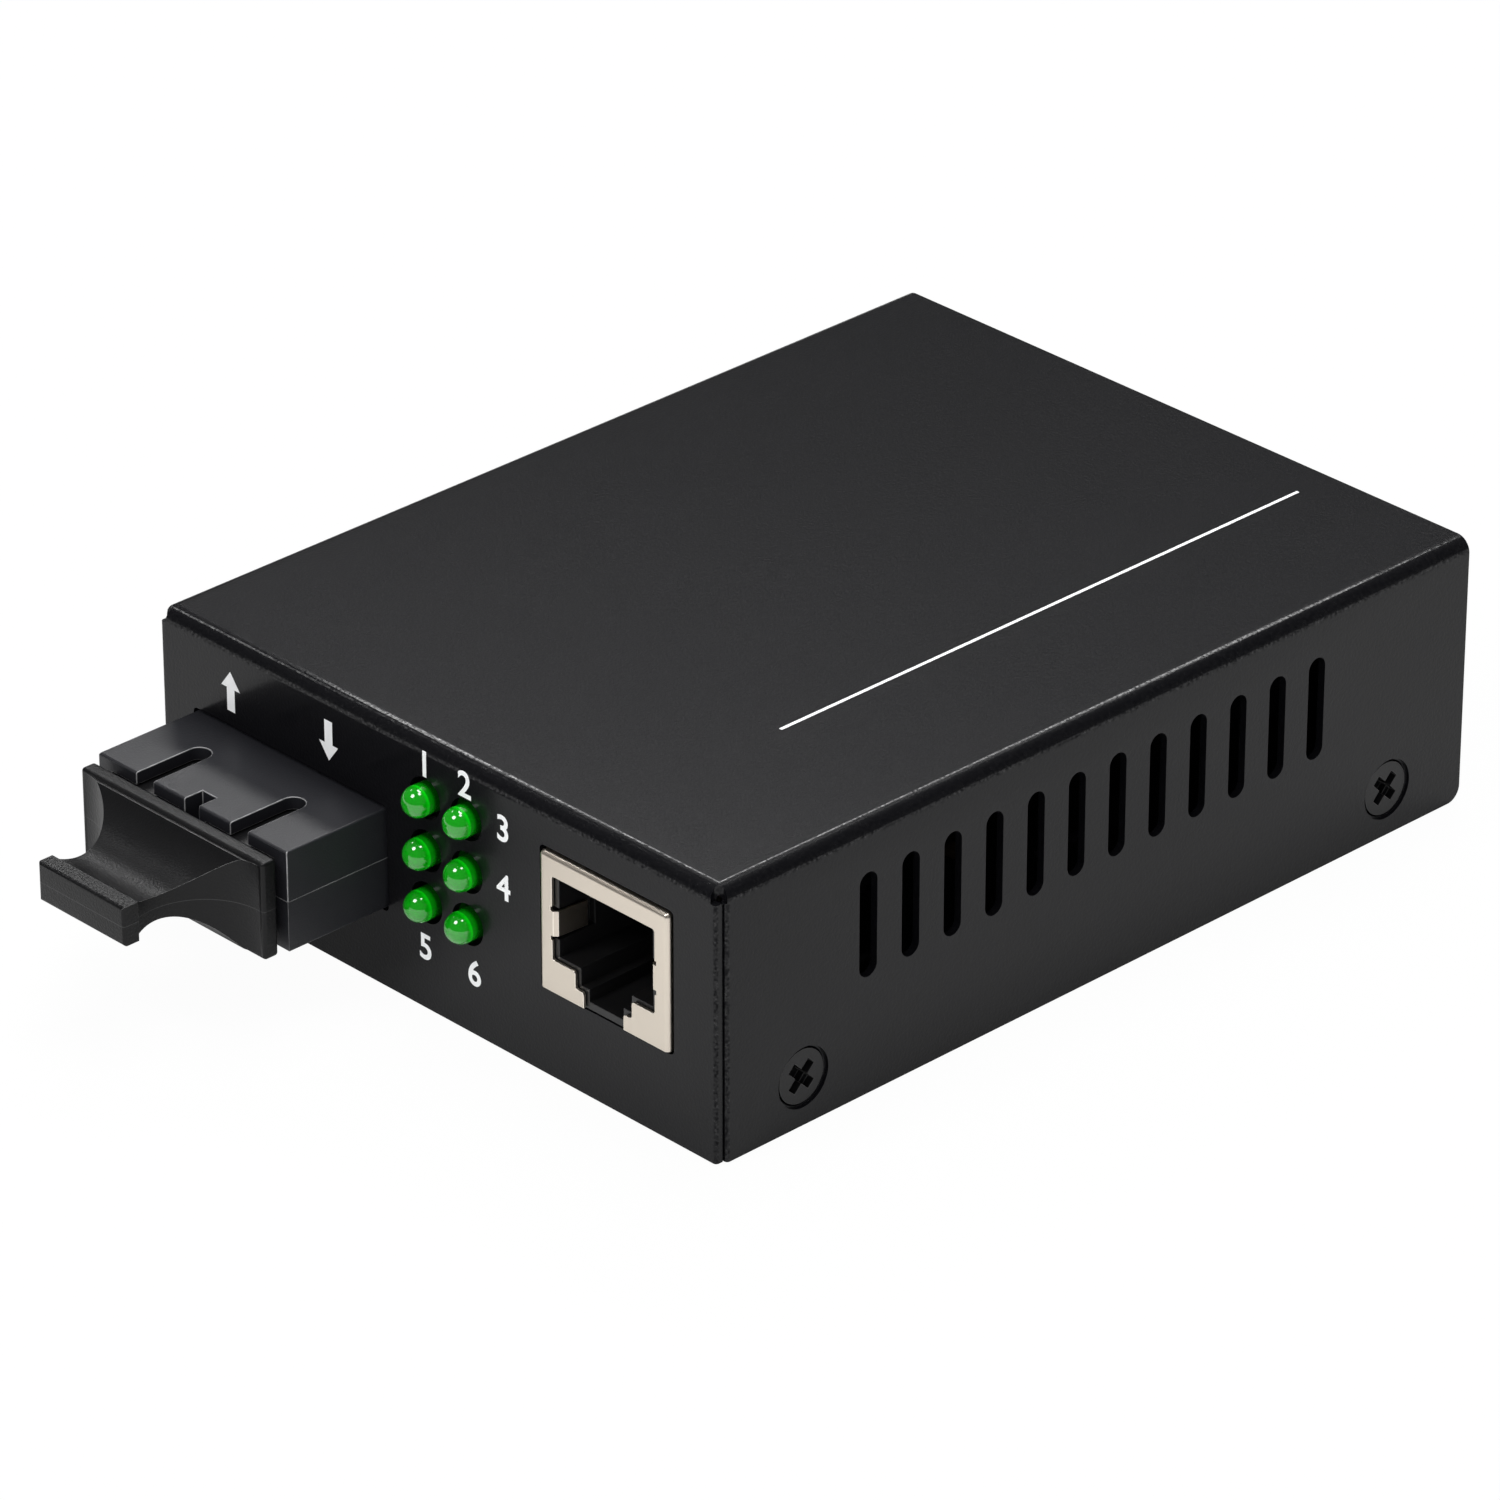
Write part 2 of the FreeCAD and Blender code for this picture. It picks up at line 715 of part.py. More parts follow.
def cross_recess(body, offset):
    """The cross for the driver, turned by an eighth of a turn: wide at first, narrow below."""
    arm = "cross_arm / 2"
    for span, depth in (("cross_span", "cross_step"), ("cross_core", "cross_depth")):
        sketch = new_sketch(body, "XY_Plane", offset, turn=45)
        half = f"{span} / 2"
        corners = [
            (half, arm), (arm, arm), (arm, half), (f"-{arm}", half), (f"-{arm}", arm), (f"-{half}", arm),
            (f"-{half}", f"-{arm}"), (f"-{arm}", f"-{arm}"), (f"-{arm}", f"-{half}"), (arm, f"-{half}"),
            (arm, f"-{arm}"), (half, f"-{arm}"),
        ]
        outline(sketch, corners)
        pocket(body, sketch, depth)


def make_case_screws():
    """Four countersunk cross-recess screws, two a side, heads just below the cover's face."""
    body = new_body("flat_screw")
    sketch = new_sketch(body, "XZ_Plane")
    head = "flat_head_diameter / 2"
    shank = "screw_diameter / 2"
    outline(
        sketch,
        [
            ("0", "0"), (head, "0"), (head, "-flat_head_rim"),
            (shank, f"-flat_head_rim - ({head} - {shank})"), (shank, "-case_screw_length + 0.4"),
            (f"{shank} - 0.4", "-case_screw_length"), ("0", "-case_screw_length"),
        ],
    )
    turned(body, sketch)
    cross_recess(body, "0")
    members = []
    for side, degrees in (("-", -90), ("", 90)):
        across = f"{side}({HALF_WIDTH} - head_recess)"
        for end in ("-", ""):
            along = f"{end}({HALF_DEPTH} - case_screw_inset)"
            members.append((body, across, along, "case_screw_height", (0, 1, 0), degrees))
    return group("case_screws", members)


def make_board_standoffs():
    """Four round posts pressed into the base, tapped for the board's screws."""
    body = new_body("standoff")
    sketch = new_sketch(body, "XZ_Plane")
    bore = "screw_hole_diameter / 2"
    post = "standoff_diameter / 2"
    shank = "standoff_shank_diameter / 2"
    outline(
        sketch,
        [
            (bore, "0"), (shank, "0"), (shank, "sheet_thick"), (post, "sheet_thick"),
            (post, BOARD_BOTTOM), (bore, BOARD_BOTTOM),
        ],
    )
    turned(body, sketch)
    return group("board_standoffs", [(body, x, y, "0", (0, 0, 1), 0) for x, y in FIXINGS])


def make_board_screws():
    """Four pan-head cross-recess screws through the board into the standoffs."""
    body = new_body("pan_screw")
    sketch = new_sketch(body, "XZ_Plane")
    head = "pan_head_diameter / 2"
    shank = "screw_diameter / 2"
    outline(
        sketch,
        [
            ("0", "pan_head_height"), ("0", "-board_screw_length"), (f"{shank} - 0.4", "-board_screw_length"),
            (shank, "-board_screw_length + 0.4"), (shank, "0"), (head, "0"), (head, "pan_head_height"),
        ],
    )
    turned(body, sketch)
    top = size("pan_head_height")
    dress(body, "Fillet", "Radius", "pan_head_height * 0.6", lambda edge: near(edge.BoundBox.ZMin, top))
    cross_recess(body, "pan_head_height")
    return group("board_screws", [(body, x, y, "board_top", (0, 0, 1), 0) for x, y in FIXINGS])


def module_pin_places():
    along = f"-{MODULE_REAR} - module_pin_inset"
    return [(f"module_centre + {i - 4} * module_pin_pitch", along) for i in range(9)]


def module_peg_places():
    along = f"-{BULKHEAD_FRONT}"
    return [(f"module_centre {side} (module_width / 2 - 2.2)", along) for side in "-+"]


def light_lead_places():
    """For each light's row, the across places of its four leads and their place along the board."""
    rows = []
    for back, step in enumerate((2, 1, 0)):
        along = f"-{LIGHT_REAR} + holder_thick + 1 + {step} * lead_step"
        columns = [f"light_column {side} light_column_pitch / 2" for side in "-+"]
        across = [f"{column} {leg} lead_pitch / 2" for column in columns for leg in "-+"]
        rows.append((across, along, f"{LIGHT_ROW} + {2 - back} * light_row_pitch"))
    return rows


def make_circuit_board():
    """The one board that carries everything, on four standoffs."""
    body = new_body("circuit_board")
    sketch = new_sketch(body, "XY_Plane", BOARD_BOTTOM)
    front = f"-{FRONT_INSIDE} + board_front_gap"
    rear = "case_depth / 2 - sheet_thick - board_rear_gap"
    rectangle(sketch, "-board_width / 2", "board_width / 2", front, rear)
    pad(body, sketch, "board_thick")
    dress(body, "Fillet", "Radius", "1", lambda edge: runs_along(edge, "z"))
    holes = new_sketch(body, "XY_Plane", BOARD_BOTTOM)
    for across, along in FIXINGS:
        circle(holes, across, along, "board_hole_diameter")
    for across, along in module_pin_places():
        circle(holes, across, along, "module_pin_diameter + pin_hole_gap")
    for across, along in module_peg_places():
        circle(holes, across, along, "module_peg_diameter + pin_hole_gap")
    for row, along, height in light_lead_places():
        for across in row:
            circle(holes, across, along, "lead_thick * 1.5 + pin_hole_gap")
    for across in contact_places():
        circle(holes, across, CONTACT_FOOT, "contact_width + 2 * pin_hole_gap")
    peg_hole = "jack_peg_diameter + pin_hole_gap"
    for side in "-+":
        circle(holes, f"jack_centre {side} jack_peg_spread / 2", JACK_PEG_LINE, peg_hole)
    grow = "2 * pin_hole_gap"
    centred_rectangle(holes, "power_centre", POWER_LUG_LINE, f"2.4 + {grow}", f"0.6 + {grow}")
    centred_rectangle(holes, "power_centre", POWER_LEAF_LINE, f"2.6 + {grow}", f"0.4 + {grow}")
    pocket(body, holes, "board_thick", backwards=True)
    return finish(body)


def module_half(label, low, high):
    """The block of one half of the transceiver's housing, before it is hollowed."""
    body = new_body(label)
    sketch = new_sketch(body, "XY_Plane", low)
    left = "module_centre - module_width / 2"
    right = "module_centre + module_width / 2"
    rectangle(sketch, left, right, f"-{MODULE_FRONT}", f"-{MODULE_REAR}")
    pad(body, sketch, f"{high} - {low}")
    return body


def hollow_module(body):
    """The two ports, the bulkhead's sleeve holes and the rear room, shared by both halves."""
    ports = new_sketch(body, "XZ_Plane", MODULE_FRONT)
    for side in "-+":
        across = f"module_centre {side} port_pitch / 2"
        centred_rectangle(ports, across, MODULE_MIDDLE, "port_width", "port_height")
    pocket(body, ports, "port_depth")
    holes = new_sketch(body, "XZ_Plane", BULKHEAD_FRONT)
    for side in "-+":
        across = f"module_centre {side} port_pitch / 2"
        circle(holes, across, MODULE_MIDDLE, "sleeve_diameter + 2 * press_gap")
    pocket(body, holes, "bulkhead")
    room = new_sketch(body, "XZ_Plane", BULKHEAD_REAR)
    width = "module_width - 2 * module_wall"
    centred_rectangle(room, "module_centre", MODULE_MIDDLE, width, "module_height - 2 * module_wall")
    pocket(body, room, f"{BULKHEAD_REAR} - {MODULE_REAR} - module_wall")


def make_upper_housing():
    """Upper half, with two round-ended keyways and the notch between the ports."""
    body = module_half("transceiver_upper_housing", MODULE_MIDDLE, MODULE_TOP)
    top = size("board_top") + size("module_lift") + size("module_height")
    dress(body, "Fillet", "Radius", "edge_round", lambda edge: near(edge.BoundBox.ZMin, top))
    hollow_module(body)
    depth = "(module_height - port_height) / 2 + 0.1"
    keyways = new_sketch(body, "XY_Plane", MODULE_TOP)
    for side in "-+":
        middle = f"-{MODULE_FRONT} + keyway_length / 2 - 1"
        obround(keyways, f"module_centre {side} port_pitch / 2", middle, "keyway_width", "keyway_length + 2")
    pocket(body, keyways, depth)
    notch = new_sketch(body, "XY_Plane", MODULE_TOP)
    middle = f"-{MODULE_FRONT} + notch_depth / 2 - 1"
    centred_rectangle(notch, "module_centre", middle, "notch_width", "notch_depth + 2")
    pocket(body, notch, "module_height / 2")
    return finish(body)


def make_lower_housing():
    """Lower half, with two pegs for the board and a slot for the row of pins."""
    body = module_half("transceiver_lower_housing", MODULE_BOTTOM, MODULE_MIDDLE)
    bottom = size("board_top") + size("module_lift")
    dress(body, "Fillet", "Radius", "edge_round", lambda edge: near(edge.BoundBox.ZMax, bottom))
    hollow_module(body)
    pegs = new_sketch(body, "XY_Plane", f"{BOARD_BOTTOM} - pin_stickout")
    for across, along in module_peg_places():
        circle(pegs, across, along, "module_peg_diameter")
    pad(body, pegs, f"{MODULE_BOTTOM} - ({BOARD_BOTTOM} - pin_stickout) + 0.1")
    slot = new_sketch(body, "XY_Plane", MODULE_BOTTOM)
    width = "8 * module_pin_pitch + 2 * module_pin_diameter"
    along = f"-{MODULE_REAR} - module_pin_inset"
    centred_rectangle(slot, "module_centre", along, width, "3 * module_pin_diameter")
    pocket(body, slot, "module_wall", backwards=True)
    return finish(body)


def make_sleeve(label, side):
    """Turned ferrule sleeve with the barrel that holds one optical can."""
    body = new_body(label)
    sketch = new_sketch(body, "XY_Plane")
    front = f"-{BULKHEAD_FRONT} - sleeve_reach"
    step = f"-{BULKHEAD_REAR} + press_gap"
    rear = f"{step} + can_length - sleeve_flange_thick"
    seat = f"{step} + sleeve_flange_thick"
    outer = "sleeve_diameter / 2"
    barrel = "sleeve_flange_diameter / 2"
    bore = "sleeve_bore / 2"
    cup = "can_cap_diameter / 2 + press_gap"
    outline(
        sketch,
        [
            (bore, front), (outer, front), (outer, step), (barrel, step),
            (barrel, rear), (cup, rear), (cup, seat), (bore, seat),
        ],
    )
    turned(body, sketch)
    place(body, f"module_centre {side} port_pitch / 2", "0", MODULE_MIDDLE)
    return finish(body)


def make_can(label, side):
    """Metal can of the laser or photodiode: cap, header disc and four leads."""
    body = new_body(label)
    sketch = new_sketch(body, "XY_Plane")
    seat = f"-{BULKHEAD_REAR} + 2 * press_gap + sleeve_flange_thick"
    header = f"-{BULKHEAD_REAR} + 2 * press_gap + can_length - sleeve_flange_thick"
    cap = "can_cap_diameter / 2"
    rim = "can_diameter / 2"
    outline(
        sketch,
        [
            ("0", f"{seat} + 0.5"), ("0.6", f"{seat} + 0.5"), ("0.6", seat), (cap, seat), (cap, header),
            (rim, header), (rim, f"{header} + 1.2"), ("0", f"{header} + 1.2"),
        ],
    )
    turned(body, sketch)
    leads = new_sketch(body, "XZ_Plane", f"-({header} + 1.1)")
    rise = "(module_board_thick / 2 + can_lead_diameter / 2 + press_gap)"
    for across in ("-1.27", "1.27"):
        for way in "-+":
            circle(leads, across, f"{way}{rise}", "can_lead_diameter")
    pad(body, leads, "can_lead_length", backwards=True)
    place(body, f"module_centre {side} port_pitch / 2", "0", MODULE_MIDDLE)
    return finish(body)


def make_module_board():
    """The transceiver's own small board, soldered between the cans' leads."""
    body = new_body("transceiver_board")
    sketch = new_sketch(body, "XY_Plane", f"{MODULE_MIDDLE} - module_board_thick / 2")
    front = f"-{BULKHEAD_REAR} + can_length + 1.4"
    rear = f"-{MODULE_REAR} - module_wall - 0.3"
    half = "module_board_width / 2"
    rectangle(sketch, f"module_centre - {half}", f"module_centre + {half}", front, rear)
    pad(body, sketch, "module_board_thick")
    holes = new_sketch(body, "XY_Plane", f"{MODULE_MIDDLE} - module_board_thick / 2")
    for across, along in module_pin_places():
        circle(holes, across, along, "module_pin_diameter + pin_hole_gap")
    pocket(body, holes, "module_board_thick", backwards=True)
    return finish(body)


def make_module_chip():
    body = new_body("transceiver_chip")
    sketch = new_sketch(body, "XY_Plane", f"{MODULE_MIDDLE} + module_board_thick / 2")
    centred_rectangle(sketch, "module_centre", f"-{BULKHEAD_REAR} + can_length + 12", "5", "5")
    pad(body, sketch, "0.9")
    return finish(body)


def make_module_pins():
    """Nine straight pins in a row, from the transceiver's board down through the main one."""
    body = new_body("long_pin")
    sketch = new_sketch(body, "XY_Plane", f"{BOARD_BOTTOM} - pin_stickout")
    circle(sketch, "0", "0", "module_pin_diameter")
    pad(body, sketch, f"{MODULE_MIDDLE} + module_board_thick / 2 + 0.5 - ({BOARD_BOTTOM} - pin_stickout)")
    return group("transceiver_pins", [(body, x, y, "0", (0, 0, 1), 0) for x, y in module_pin_places()])


def make_dust_plug():
    """One soft moulding: flange plate, waisted pull grip and two hollow pegs."""
    body = new_body("dust_plug")
    plate = new_sketch(body, "XZ_Plane", FLANGE_REAR)
    centred_rectangle(plate, "module_centre", PLUG_MIDDLE, "plug_flange_width", "plug_flange_height")
    pad(body, plate, "plug_flange_thick")
    dress(body, "Fillet", "Radius", "grip_round", lambda edge: True)
    plug_grip(body)
    plug_pegs(body)
    return finish(body)


def plug_grip(body):
    """A block scooped from both sides and from above and below, with a bar across its end."""
    block = new_sketch(body, "XZ_Plane", f"{FLANGE_FRONT} - 0.1")
    root = "plug_flange_height - 2 * grip_round"
    centred_rectangle(block, "module_centre", PLUG_MIDDLE, "2 * side_scoop_offset", root)
    pad(body, block, "grip_length - grip_bar_thick + 0.3")
    sides = new_sketch(body, "XY_Plane", PLUG_MIDDLE)
    for side in "-+":
        across = f"module_centre {side} side_scoop_offset"
        circle(sides, across, f"-{FLANGE_FRONT} - side_scoop_radius", "2 * side_scoop_radius")
    cut = pocket(body, sides, "2 * plug_flange_height")
    cut.SideType = "Symmetric"
    faces = new_sketch(body, "YZ_Plane", "module_centre")
    for way in "-+":
        height = f"{PLUG_MIDDLE} {way} (neck_thick / 2 + face_scoop_radius)"
        circle(faces, f"-{FLANGE_FRONT} - face_scoop_reach", height, "2 * face_scoop_radius")
    cut = pocket(body, faces, "2 * plug_flange_width")
    cut.SideType = "Symmetric"
    bar = new_sketch(body, "XZ_Plane", f"{FLANGE_FRONT} + grip_length - grip_bar_thick")
    centred_rectangle(bar, "module_centre", PLUG_MIDDLE, "grip_bar_width", "grip_bar_height")
    pad(body, bar, "grip_bar_thick")
    front = size("case_depth") / 2 + size("module_nose") + size("plug_gap") + size("plug_flange_thick")
    end = -front - size("grip_length")
    dress(body, "Fillet", "Radius", "grip_round", lambda edge: near(edge.BoundBox.YMax, end))


def plug_pegs(body):
    pegs = new_sketch(body, "XZ_Plane", FLANGE_REAR)
    for side in "-+":
        across = f"module_centre {side} port_pitch / 2"
        peg = ("port_width - 2 * peg_gap", "port_height - 2 * peg_gap")
        centred_rectangle(pegs, across, MODULE_MIDDLE, *peg)
    pad(body, pegs, "peg_length", backwards=True)
    bores = new_sketch(body, "XZ_Plane", f"{FLANGE_REAR} - peg_length")
    for side in "-+":
        circle(bores, f"module_centre {side} port_pitch / 2", MODULE_MIDDLE, "peg_bore")
    pocket(body, bores, "peg_length", backwards=True)


def make_light(label, across, height):
    """One round-nosed indicator light: rim, barrel and dome in one cast lens."""
    body = new_body(label)
    rim = new_sketch(body, "XZ_Plane", LIGHT_REAR)
    circle(rim, "0", "0", "light_rim_diameter")
    pad(body, rim, "light_rim_thick")
    barrel = new_sketch(body, "XZ_Plane", LIGHT_REAR)
    circle(barrel, "0", "0", "light_diameter")
    pad(body, barrel, "light_body + light_diameter / 2")
    tip = -(size("case_depth") / 2 + size("light_nose") + size("light_diameter") / 2)
    dress(body, "Fillet", "Radius", "light_diameter / 2 - 0.02", lambda edge: near(edge.BoundBox.YMax, tip))
    place(body, across, "0", height)
    return finish(body)


def make_light_holder():
    """Black block on the board that holds the six lights square to the front."""
    body = new_body("light_holder")
    sketch = new_sketch(body, "XZ_Plane", f"{LIGHT_REAR} - holder_thick")
    half = "light_column_pitch / 2 + light_rim_diameter / 2 + holder_margin"
    top = f"{LIGHT_ROW} + 2 * light_row_pitch + light_rim_diameter / 2 + holder_margin"
    rectangle(sketch, f"light_column - ({half})", f"light_column + ({half})", "board_top", top)
    pad(body, sketch, "holder_thick")
    holes = new_sketch(body, "XZ_Plane", f"{LIGHT_REAR} - holder_thick")
    for row, along, height in light_lead_places():
        for across in row:
            centred_rectangle(holes, across, height, "lead_thick + 0.3", "lead_thick + 0.3")
    pocket(body, holes, "holder_thick", backwards=True)
    return finish(body)


def make_light_leads():
    """Twelve bent wires: straight back from each light, then down through the board."""
    members = []
    for step, (row, along, height) in enumerate(light_lead_places()):
        body = new_body(f"light_lead_{step}")
        sketch = new_sketch(body, "YZ_Plane")
        half = "lead_thick / 2"
        outline(
            sketch,
            [
                (f"-{LIGHT_REAR}", f"{height} + {half}"), (f"{along} + {half}", f"{height} + {half}"),
                (f"{along} + {half}", f"{BOARD_BOTTOM} - pin_stickout"),
                (f"{along} - {half}", f"{BOARD_BOTTOM} - pin_stickout"),
                (f"{along} - {half}", f"{height} - {half}"), (f"-{LIGHT_REAR}", f"{height} - {half}"),
            ],
        )
        wire = pad(body, sketch, "lead_thick")
        wire.SideType = "Symmetric"
        members += [(body, across, "0", "0", (0, 0, 1), 0) for across in row]
    return group("light_leads", members)


def make_jack_shield():
    """Folded tinned box of the network socket, with the stepped mouth and two inward leaves."""
    body = new_body("network_jack_shield")
    front = -(size("case_depth") / 2 + size("jack_nose"))
    bottom = size("board_top") + size("jack_lift")
    sketch = new_sketch(body, "XY_Plane", JACK_BOTTOM)
    left = "jack_centre - jack_width / 2"
    right = "jack_centre + jack_width / 2"
    rectangle(sketch, left, right, f"-{JACK_FRONT}", f"-{JACK_REAR}")
    pad(body, sketch, "jack_height")

    def outer_corner(edge):
        box = edge.BoundBox
        return box.ZMax > bottom + 0.1 and (runs_along(edge, "z") or box.ZMin > bottom + 1)

    dress(body, "Fillet", "Radius", "shield_round", outer_corner)
    hollow(body, "shield_thick", lambda face: near(face.BoundBox.ZMax, bottom))
    mouth = new_sketch(body, "XZ_Plane", JACK_FRONT)
    wide = "mouth_width / 2"
    latch = "latch_width / 2"
    tongue = "tongue_width / 2"
    steps = [
        (wide, MOUTH_TOP), (wide, MOUTH_STEP), (latch, MOUTH_STEP), (latch, LATCH_STEP),
        (tongue, LATCH_STEP), (tongue, f"{JACK_BOTTOM} - 1"),
    ]
    right = [(f"jack_centre + {across}", up) for across, up in steps]
    left = [(f"jack_centre - {across}", up) for across, up in reversed(steps)]
    outline(mouth, right + left)
    pocket(body, mouth, "2 * shield_thick")

    def mouth_corner(edge):
        box = edge.BoundBox
        in_front = near(box.YMin, front) and near(box.YMax, front + size("shield_thick"))
        within = abs(box.Center.x - size("jack_centre")) < size("jack_width") / 2 - 1
        return in_front and within and box.ZMin > bottom + 1 and runs_along(edge, "y")

    dress(body, "Fillet", "Radius", "mouth_round", mouth_corner)
    slits = new_sketch(body, "XZ_Plane", JACK_FRONT)
    for side in "-+":
        for height, way in ((LEAF_LOW, "-"), (LEAF_HIGH, "+")):
            middle = f"{height} {way} slit_width / 2"
            across = f"jack_centre {side} mouth_width / 2"
            centred_rectangle(slits, across, middle, "slit_width", "slit_width")
    pocket(body, slits, "2 * shield_thick")
    jack_leaves(body)
    return finish(body)


def jack_leaves(body):
    """Spring leaves folded back into the mouth, which touch the plug's shell."""
    leaves = new_sketch(body, "XY_Plane", LEAF_LOW)
    edge = "mouth_width / 2"
    face = f"-{JACK_FRONT}"
    for side, back in (("-", "+"), ("+", "-")):
        at = f"jack_centre {side} {edge}"
        outline(
            leaves,
            [
                (f"{at} {side} 0.1", face), (f"{at} {back} 0.15", face),
                (f"{at} {back} 0.5", f"{face} + 0.35"), (f"{at} {back} leaf_lean", f"{face} + leaf_length"),
                (f"{at} {back} (leaf_lean - shield_thick)", f"{face} + leaf_length"),
                (f"{at} {back} 0.2", f"{face} + 0.5"), (f"{at} {back} 0.05", f"{face} + shield_thick"),
                (f"{at} {side} 0.1", f"{face} + shield_thick"),
            ],
        )
    pad(body, leaves, f"{LEAF_HIGH} - {LEAF_LOW}")


def make_jack_insert():
    """Black socket moulding inside the shield, on two pegs in the board."""
    body = new_body("network_jack_insert")
    sketch = new_sketch(body, "XY_Plane", "board_top")
    front = f"-{JACK_FRONT} + shield_thick + shield_gap"
    rear = f"-{JACK_REAR} - shield_thick - shield_gap"
    left = f"jack_centre - {JACK_INNER_HALF}"
    right = f"jack_centre + {JACK_INNER_HALF}"
    rectangle(sketch, left, right, front, rear)
    pad(body, sketch, f"{JACK_TOP} - shield_thick - shield_gap - board_top")
    step = new_sketch(body, "XY_Plane", "board_top - 1")
    behind_panel = f"-{FRONT_INSIDE} + window_gap"
    centred_rectangle(step, "jack_centre", f"({behind_panel}) - 2", "jack_width + 2", "4")
    pocket(body, step, "jack_lift + 1 - 0.05", backwards=True)
    cavity = new_sketch(body, "XZ_Plane", f"-({front})")
    wide = "socket_width / 2"
    latch = "latch_width / 2 - insert_lip"
    tongue = "tongue_width / 2 - insert_lip"
    floor = f"{JACK_BOTTOM} + insert_floor"
    steps = [
        (wide, f"{MOUTH_TOP} + 0.1"), (wide, f"{MOUTH_STEP} + insert_lip"),
        (latch, f"{MOUTH_STEP} + insert_lip"), (latch, f"{LATCH_STEP} + insert_lip"),
        (tongue, f"{LATCH_STEP} + insert_lip"), (tongue, floor),
    ]
    right = [(f"jack_centre + {across}", up) for across, up in steps]
    left = [(f"jack_centre - ({across})", up) for across, up in reversed(steps)]
    outline(cavity, right + left)
    pocket(body, cavity, "socket_depth")
    rooms = new_sketch(body, "XZ_Plane", f"-({front})")
    leaf_middle = f"({LEAF_LOW} + {LEAF_HIGH}) / 2"
    centred_rectangle(rooms, "jack_centre", leaf_middle, "mouth_width + 0.4", "leaf_width + 0.6")
    pocket(body, rooms, "leaf_length + 0.6")
    channel = new_sketch(body, "YZ_Plane", "jack_centre")
    top = f"{MOUTH_TOP} + 1.25"
    outline(
        channel,
        [
            (f"{front} + 2", MOUTH_TOP), (f"{CONTACT_FOOT} - 0.4", MOUTH_TOP),
            (f"{CONTACT_FOOT} - 0.4", "board_top - 1"), (f"{CONTACT_FOOT} + 0.4", "board_top - 1"),
            (f"{CONTACT_FOOT} + 0.4", top), (f"{front} + 2", top),
        ],
    )
    cut = pocket(body, channel, "comb_width")
    cut.SideType = "Symmetric"
    pegs = new_sketch(body, "XY_Plane", f"{BOARD_BOTTOM} - pin_stickout")
    for side in "-+":
        circle(pegs, f"jack_centre {side} jack_peg_spread / 2", JACK_PEG_LINE, "jack_peg_diameter")
    pad(body, pegs, "board_thick + pin_stickout + 0.1")
    return finish(body)


def contact_places():
    return [f"jack_centre + {i - 3.5} * contact_pitch" for i in range(8)]


def make_jack_contacts():
    """Eight spring wires: sloping into the mouth, over the top and down through the board."""
    body = new_body("jack_wire")
    sketch = new_sketch(body, "YZ_Plane")
    front = f"-{JACK_FRONT} + shield_thick + shield_gap + 2.5"
    tip = f"-{JACK_FRONT} + socket_depth - 0.8"
    top = f"{MOUTH_TOP} + 1"
    thick = "contact_thick"
    foot_front = f"{CONTACT_FOOT} - {thick} / 2"
    foot_rear = f"{CONTACT_FOOT} + {thick} / 2"
    outline(
        sketch,
        [
            (tip, f"{MOUTH_TOP} - 3.6"), (front, f"{MOUTH_TOP} + 0.1"), (front, top), (foot_rear, top),
            (foot_rear, f"{BOARD_BOTTOM} - pin_stickout"), (foot_front, f"{BOARD_BOTTOM} - pin_stickout"),
            (foot_front, f"{top} - {thick}"), (f"{front} + {thick}", f"{top} - {thick}"),
            (f"{front} + {thick}", f"{MOUTH_TOP} + 0.3"), (tip, f"{MOUTH_TOP} - 3.25"),
        ],
    )
    wire = pad(body, sketch, "contact_width")
    wire.SideType = "Symmetric"
    members = [(body, across, "0", "0", (0, 0, 1), 0) for across in contact_places()]
    return group("network_jack_contacts", members)


def make_power_body():
    """Moulded housing of the power socket, its bore facing the rear panel's hole."""
    body = new_body("power_jack_body")
    block = new_sketch(body, "XZ_Plane", f"-{POWER_FACE}")
    middle = "board_top + power_height / 2"
    centred_rectangle(block, "power_centre", middle, "power_width", "power_height")
    pad(body, block, "power_length")
    top = size("board_top") + size("power_height")
    long_edge = lambda edge: runs_along(edge, "y") and near(edge.BoundBox.ZMin, top)
    dress(body, "Fillet", "Radius", "1.5", long_edge)
    bore = new_sketch(body, "XZ_Plane", f"-{POWER_FACE}")
    circle(bore, "power_centre", POWER_HEIGHT, "power_bore")
    pocket(body, bore, "power_bore_depth", backwards=True)
    hole = new_sketch(body, "XZ_Plane", f"-{POWER_FACE}")
    circle(hole, "power_centre", POWER_HEIGHT, "power_pin_diameter + 2 * press_gap")
    pocket(body, hole, "power_length + 1", backwards=True)
    slot = new_sketch(body, "XY_Plane", "board_top")
    slot_front = f"{POWER_FACE} - power_bore_depth + 0.5"
    rectangle(slot, "power_centre - 1.6", "power_centre + 1.6", slot_front, f"{POWER_FACE} - 1.5")
    pocket(body, slot, "power_axis", backwards=True)
    return finish(body)


def make_power_pin():
    """Centre pin, its round nose in the bore and its lug down through the board."""
    body = new_body("power_jack_pin")
    lug = new_sketch(body, "XZ_Plane", f"-({POWER_LUG_LINE} + 0.3)")
    foot = f"{BOARD_BOTTOM} - pin_stickout"
    rectangle(lug, "power_centre - 1.2", "power_centre + 1.2", foot, f"{POWER_HEIGHT} + 1.4")
    pad(body, lug, "0.6")
    rod = new_sketch(body, "XZ_Plane", f"-({POWER_LUG_LINE})")
    circle(rod, "power_centre", POWER_HEIGHT, "power_pin_diameter")
    pad(body, rod, "power_length - power_bore_depth + power_pin_length", backwards=True)
    tip = size("case_depth") / 2
    nose = lambda edge: edge.BoundBox.YMin > tip - 8 and edge.Curve.TypeId == "Part::GeomCircle"
    dress(body, "Fillet", "Radius", "power_pin_diameter / 4", nose)
    return finish(body)


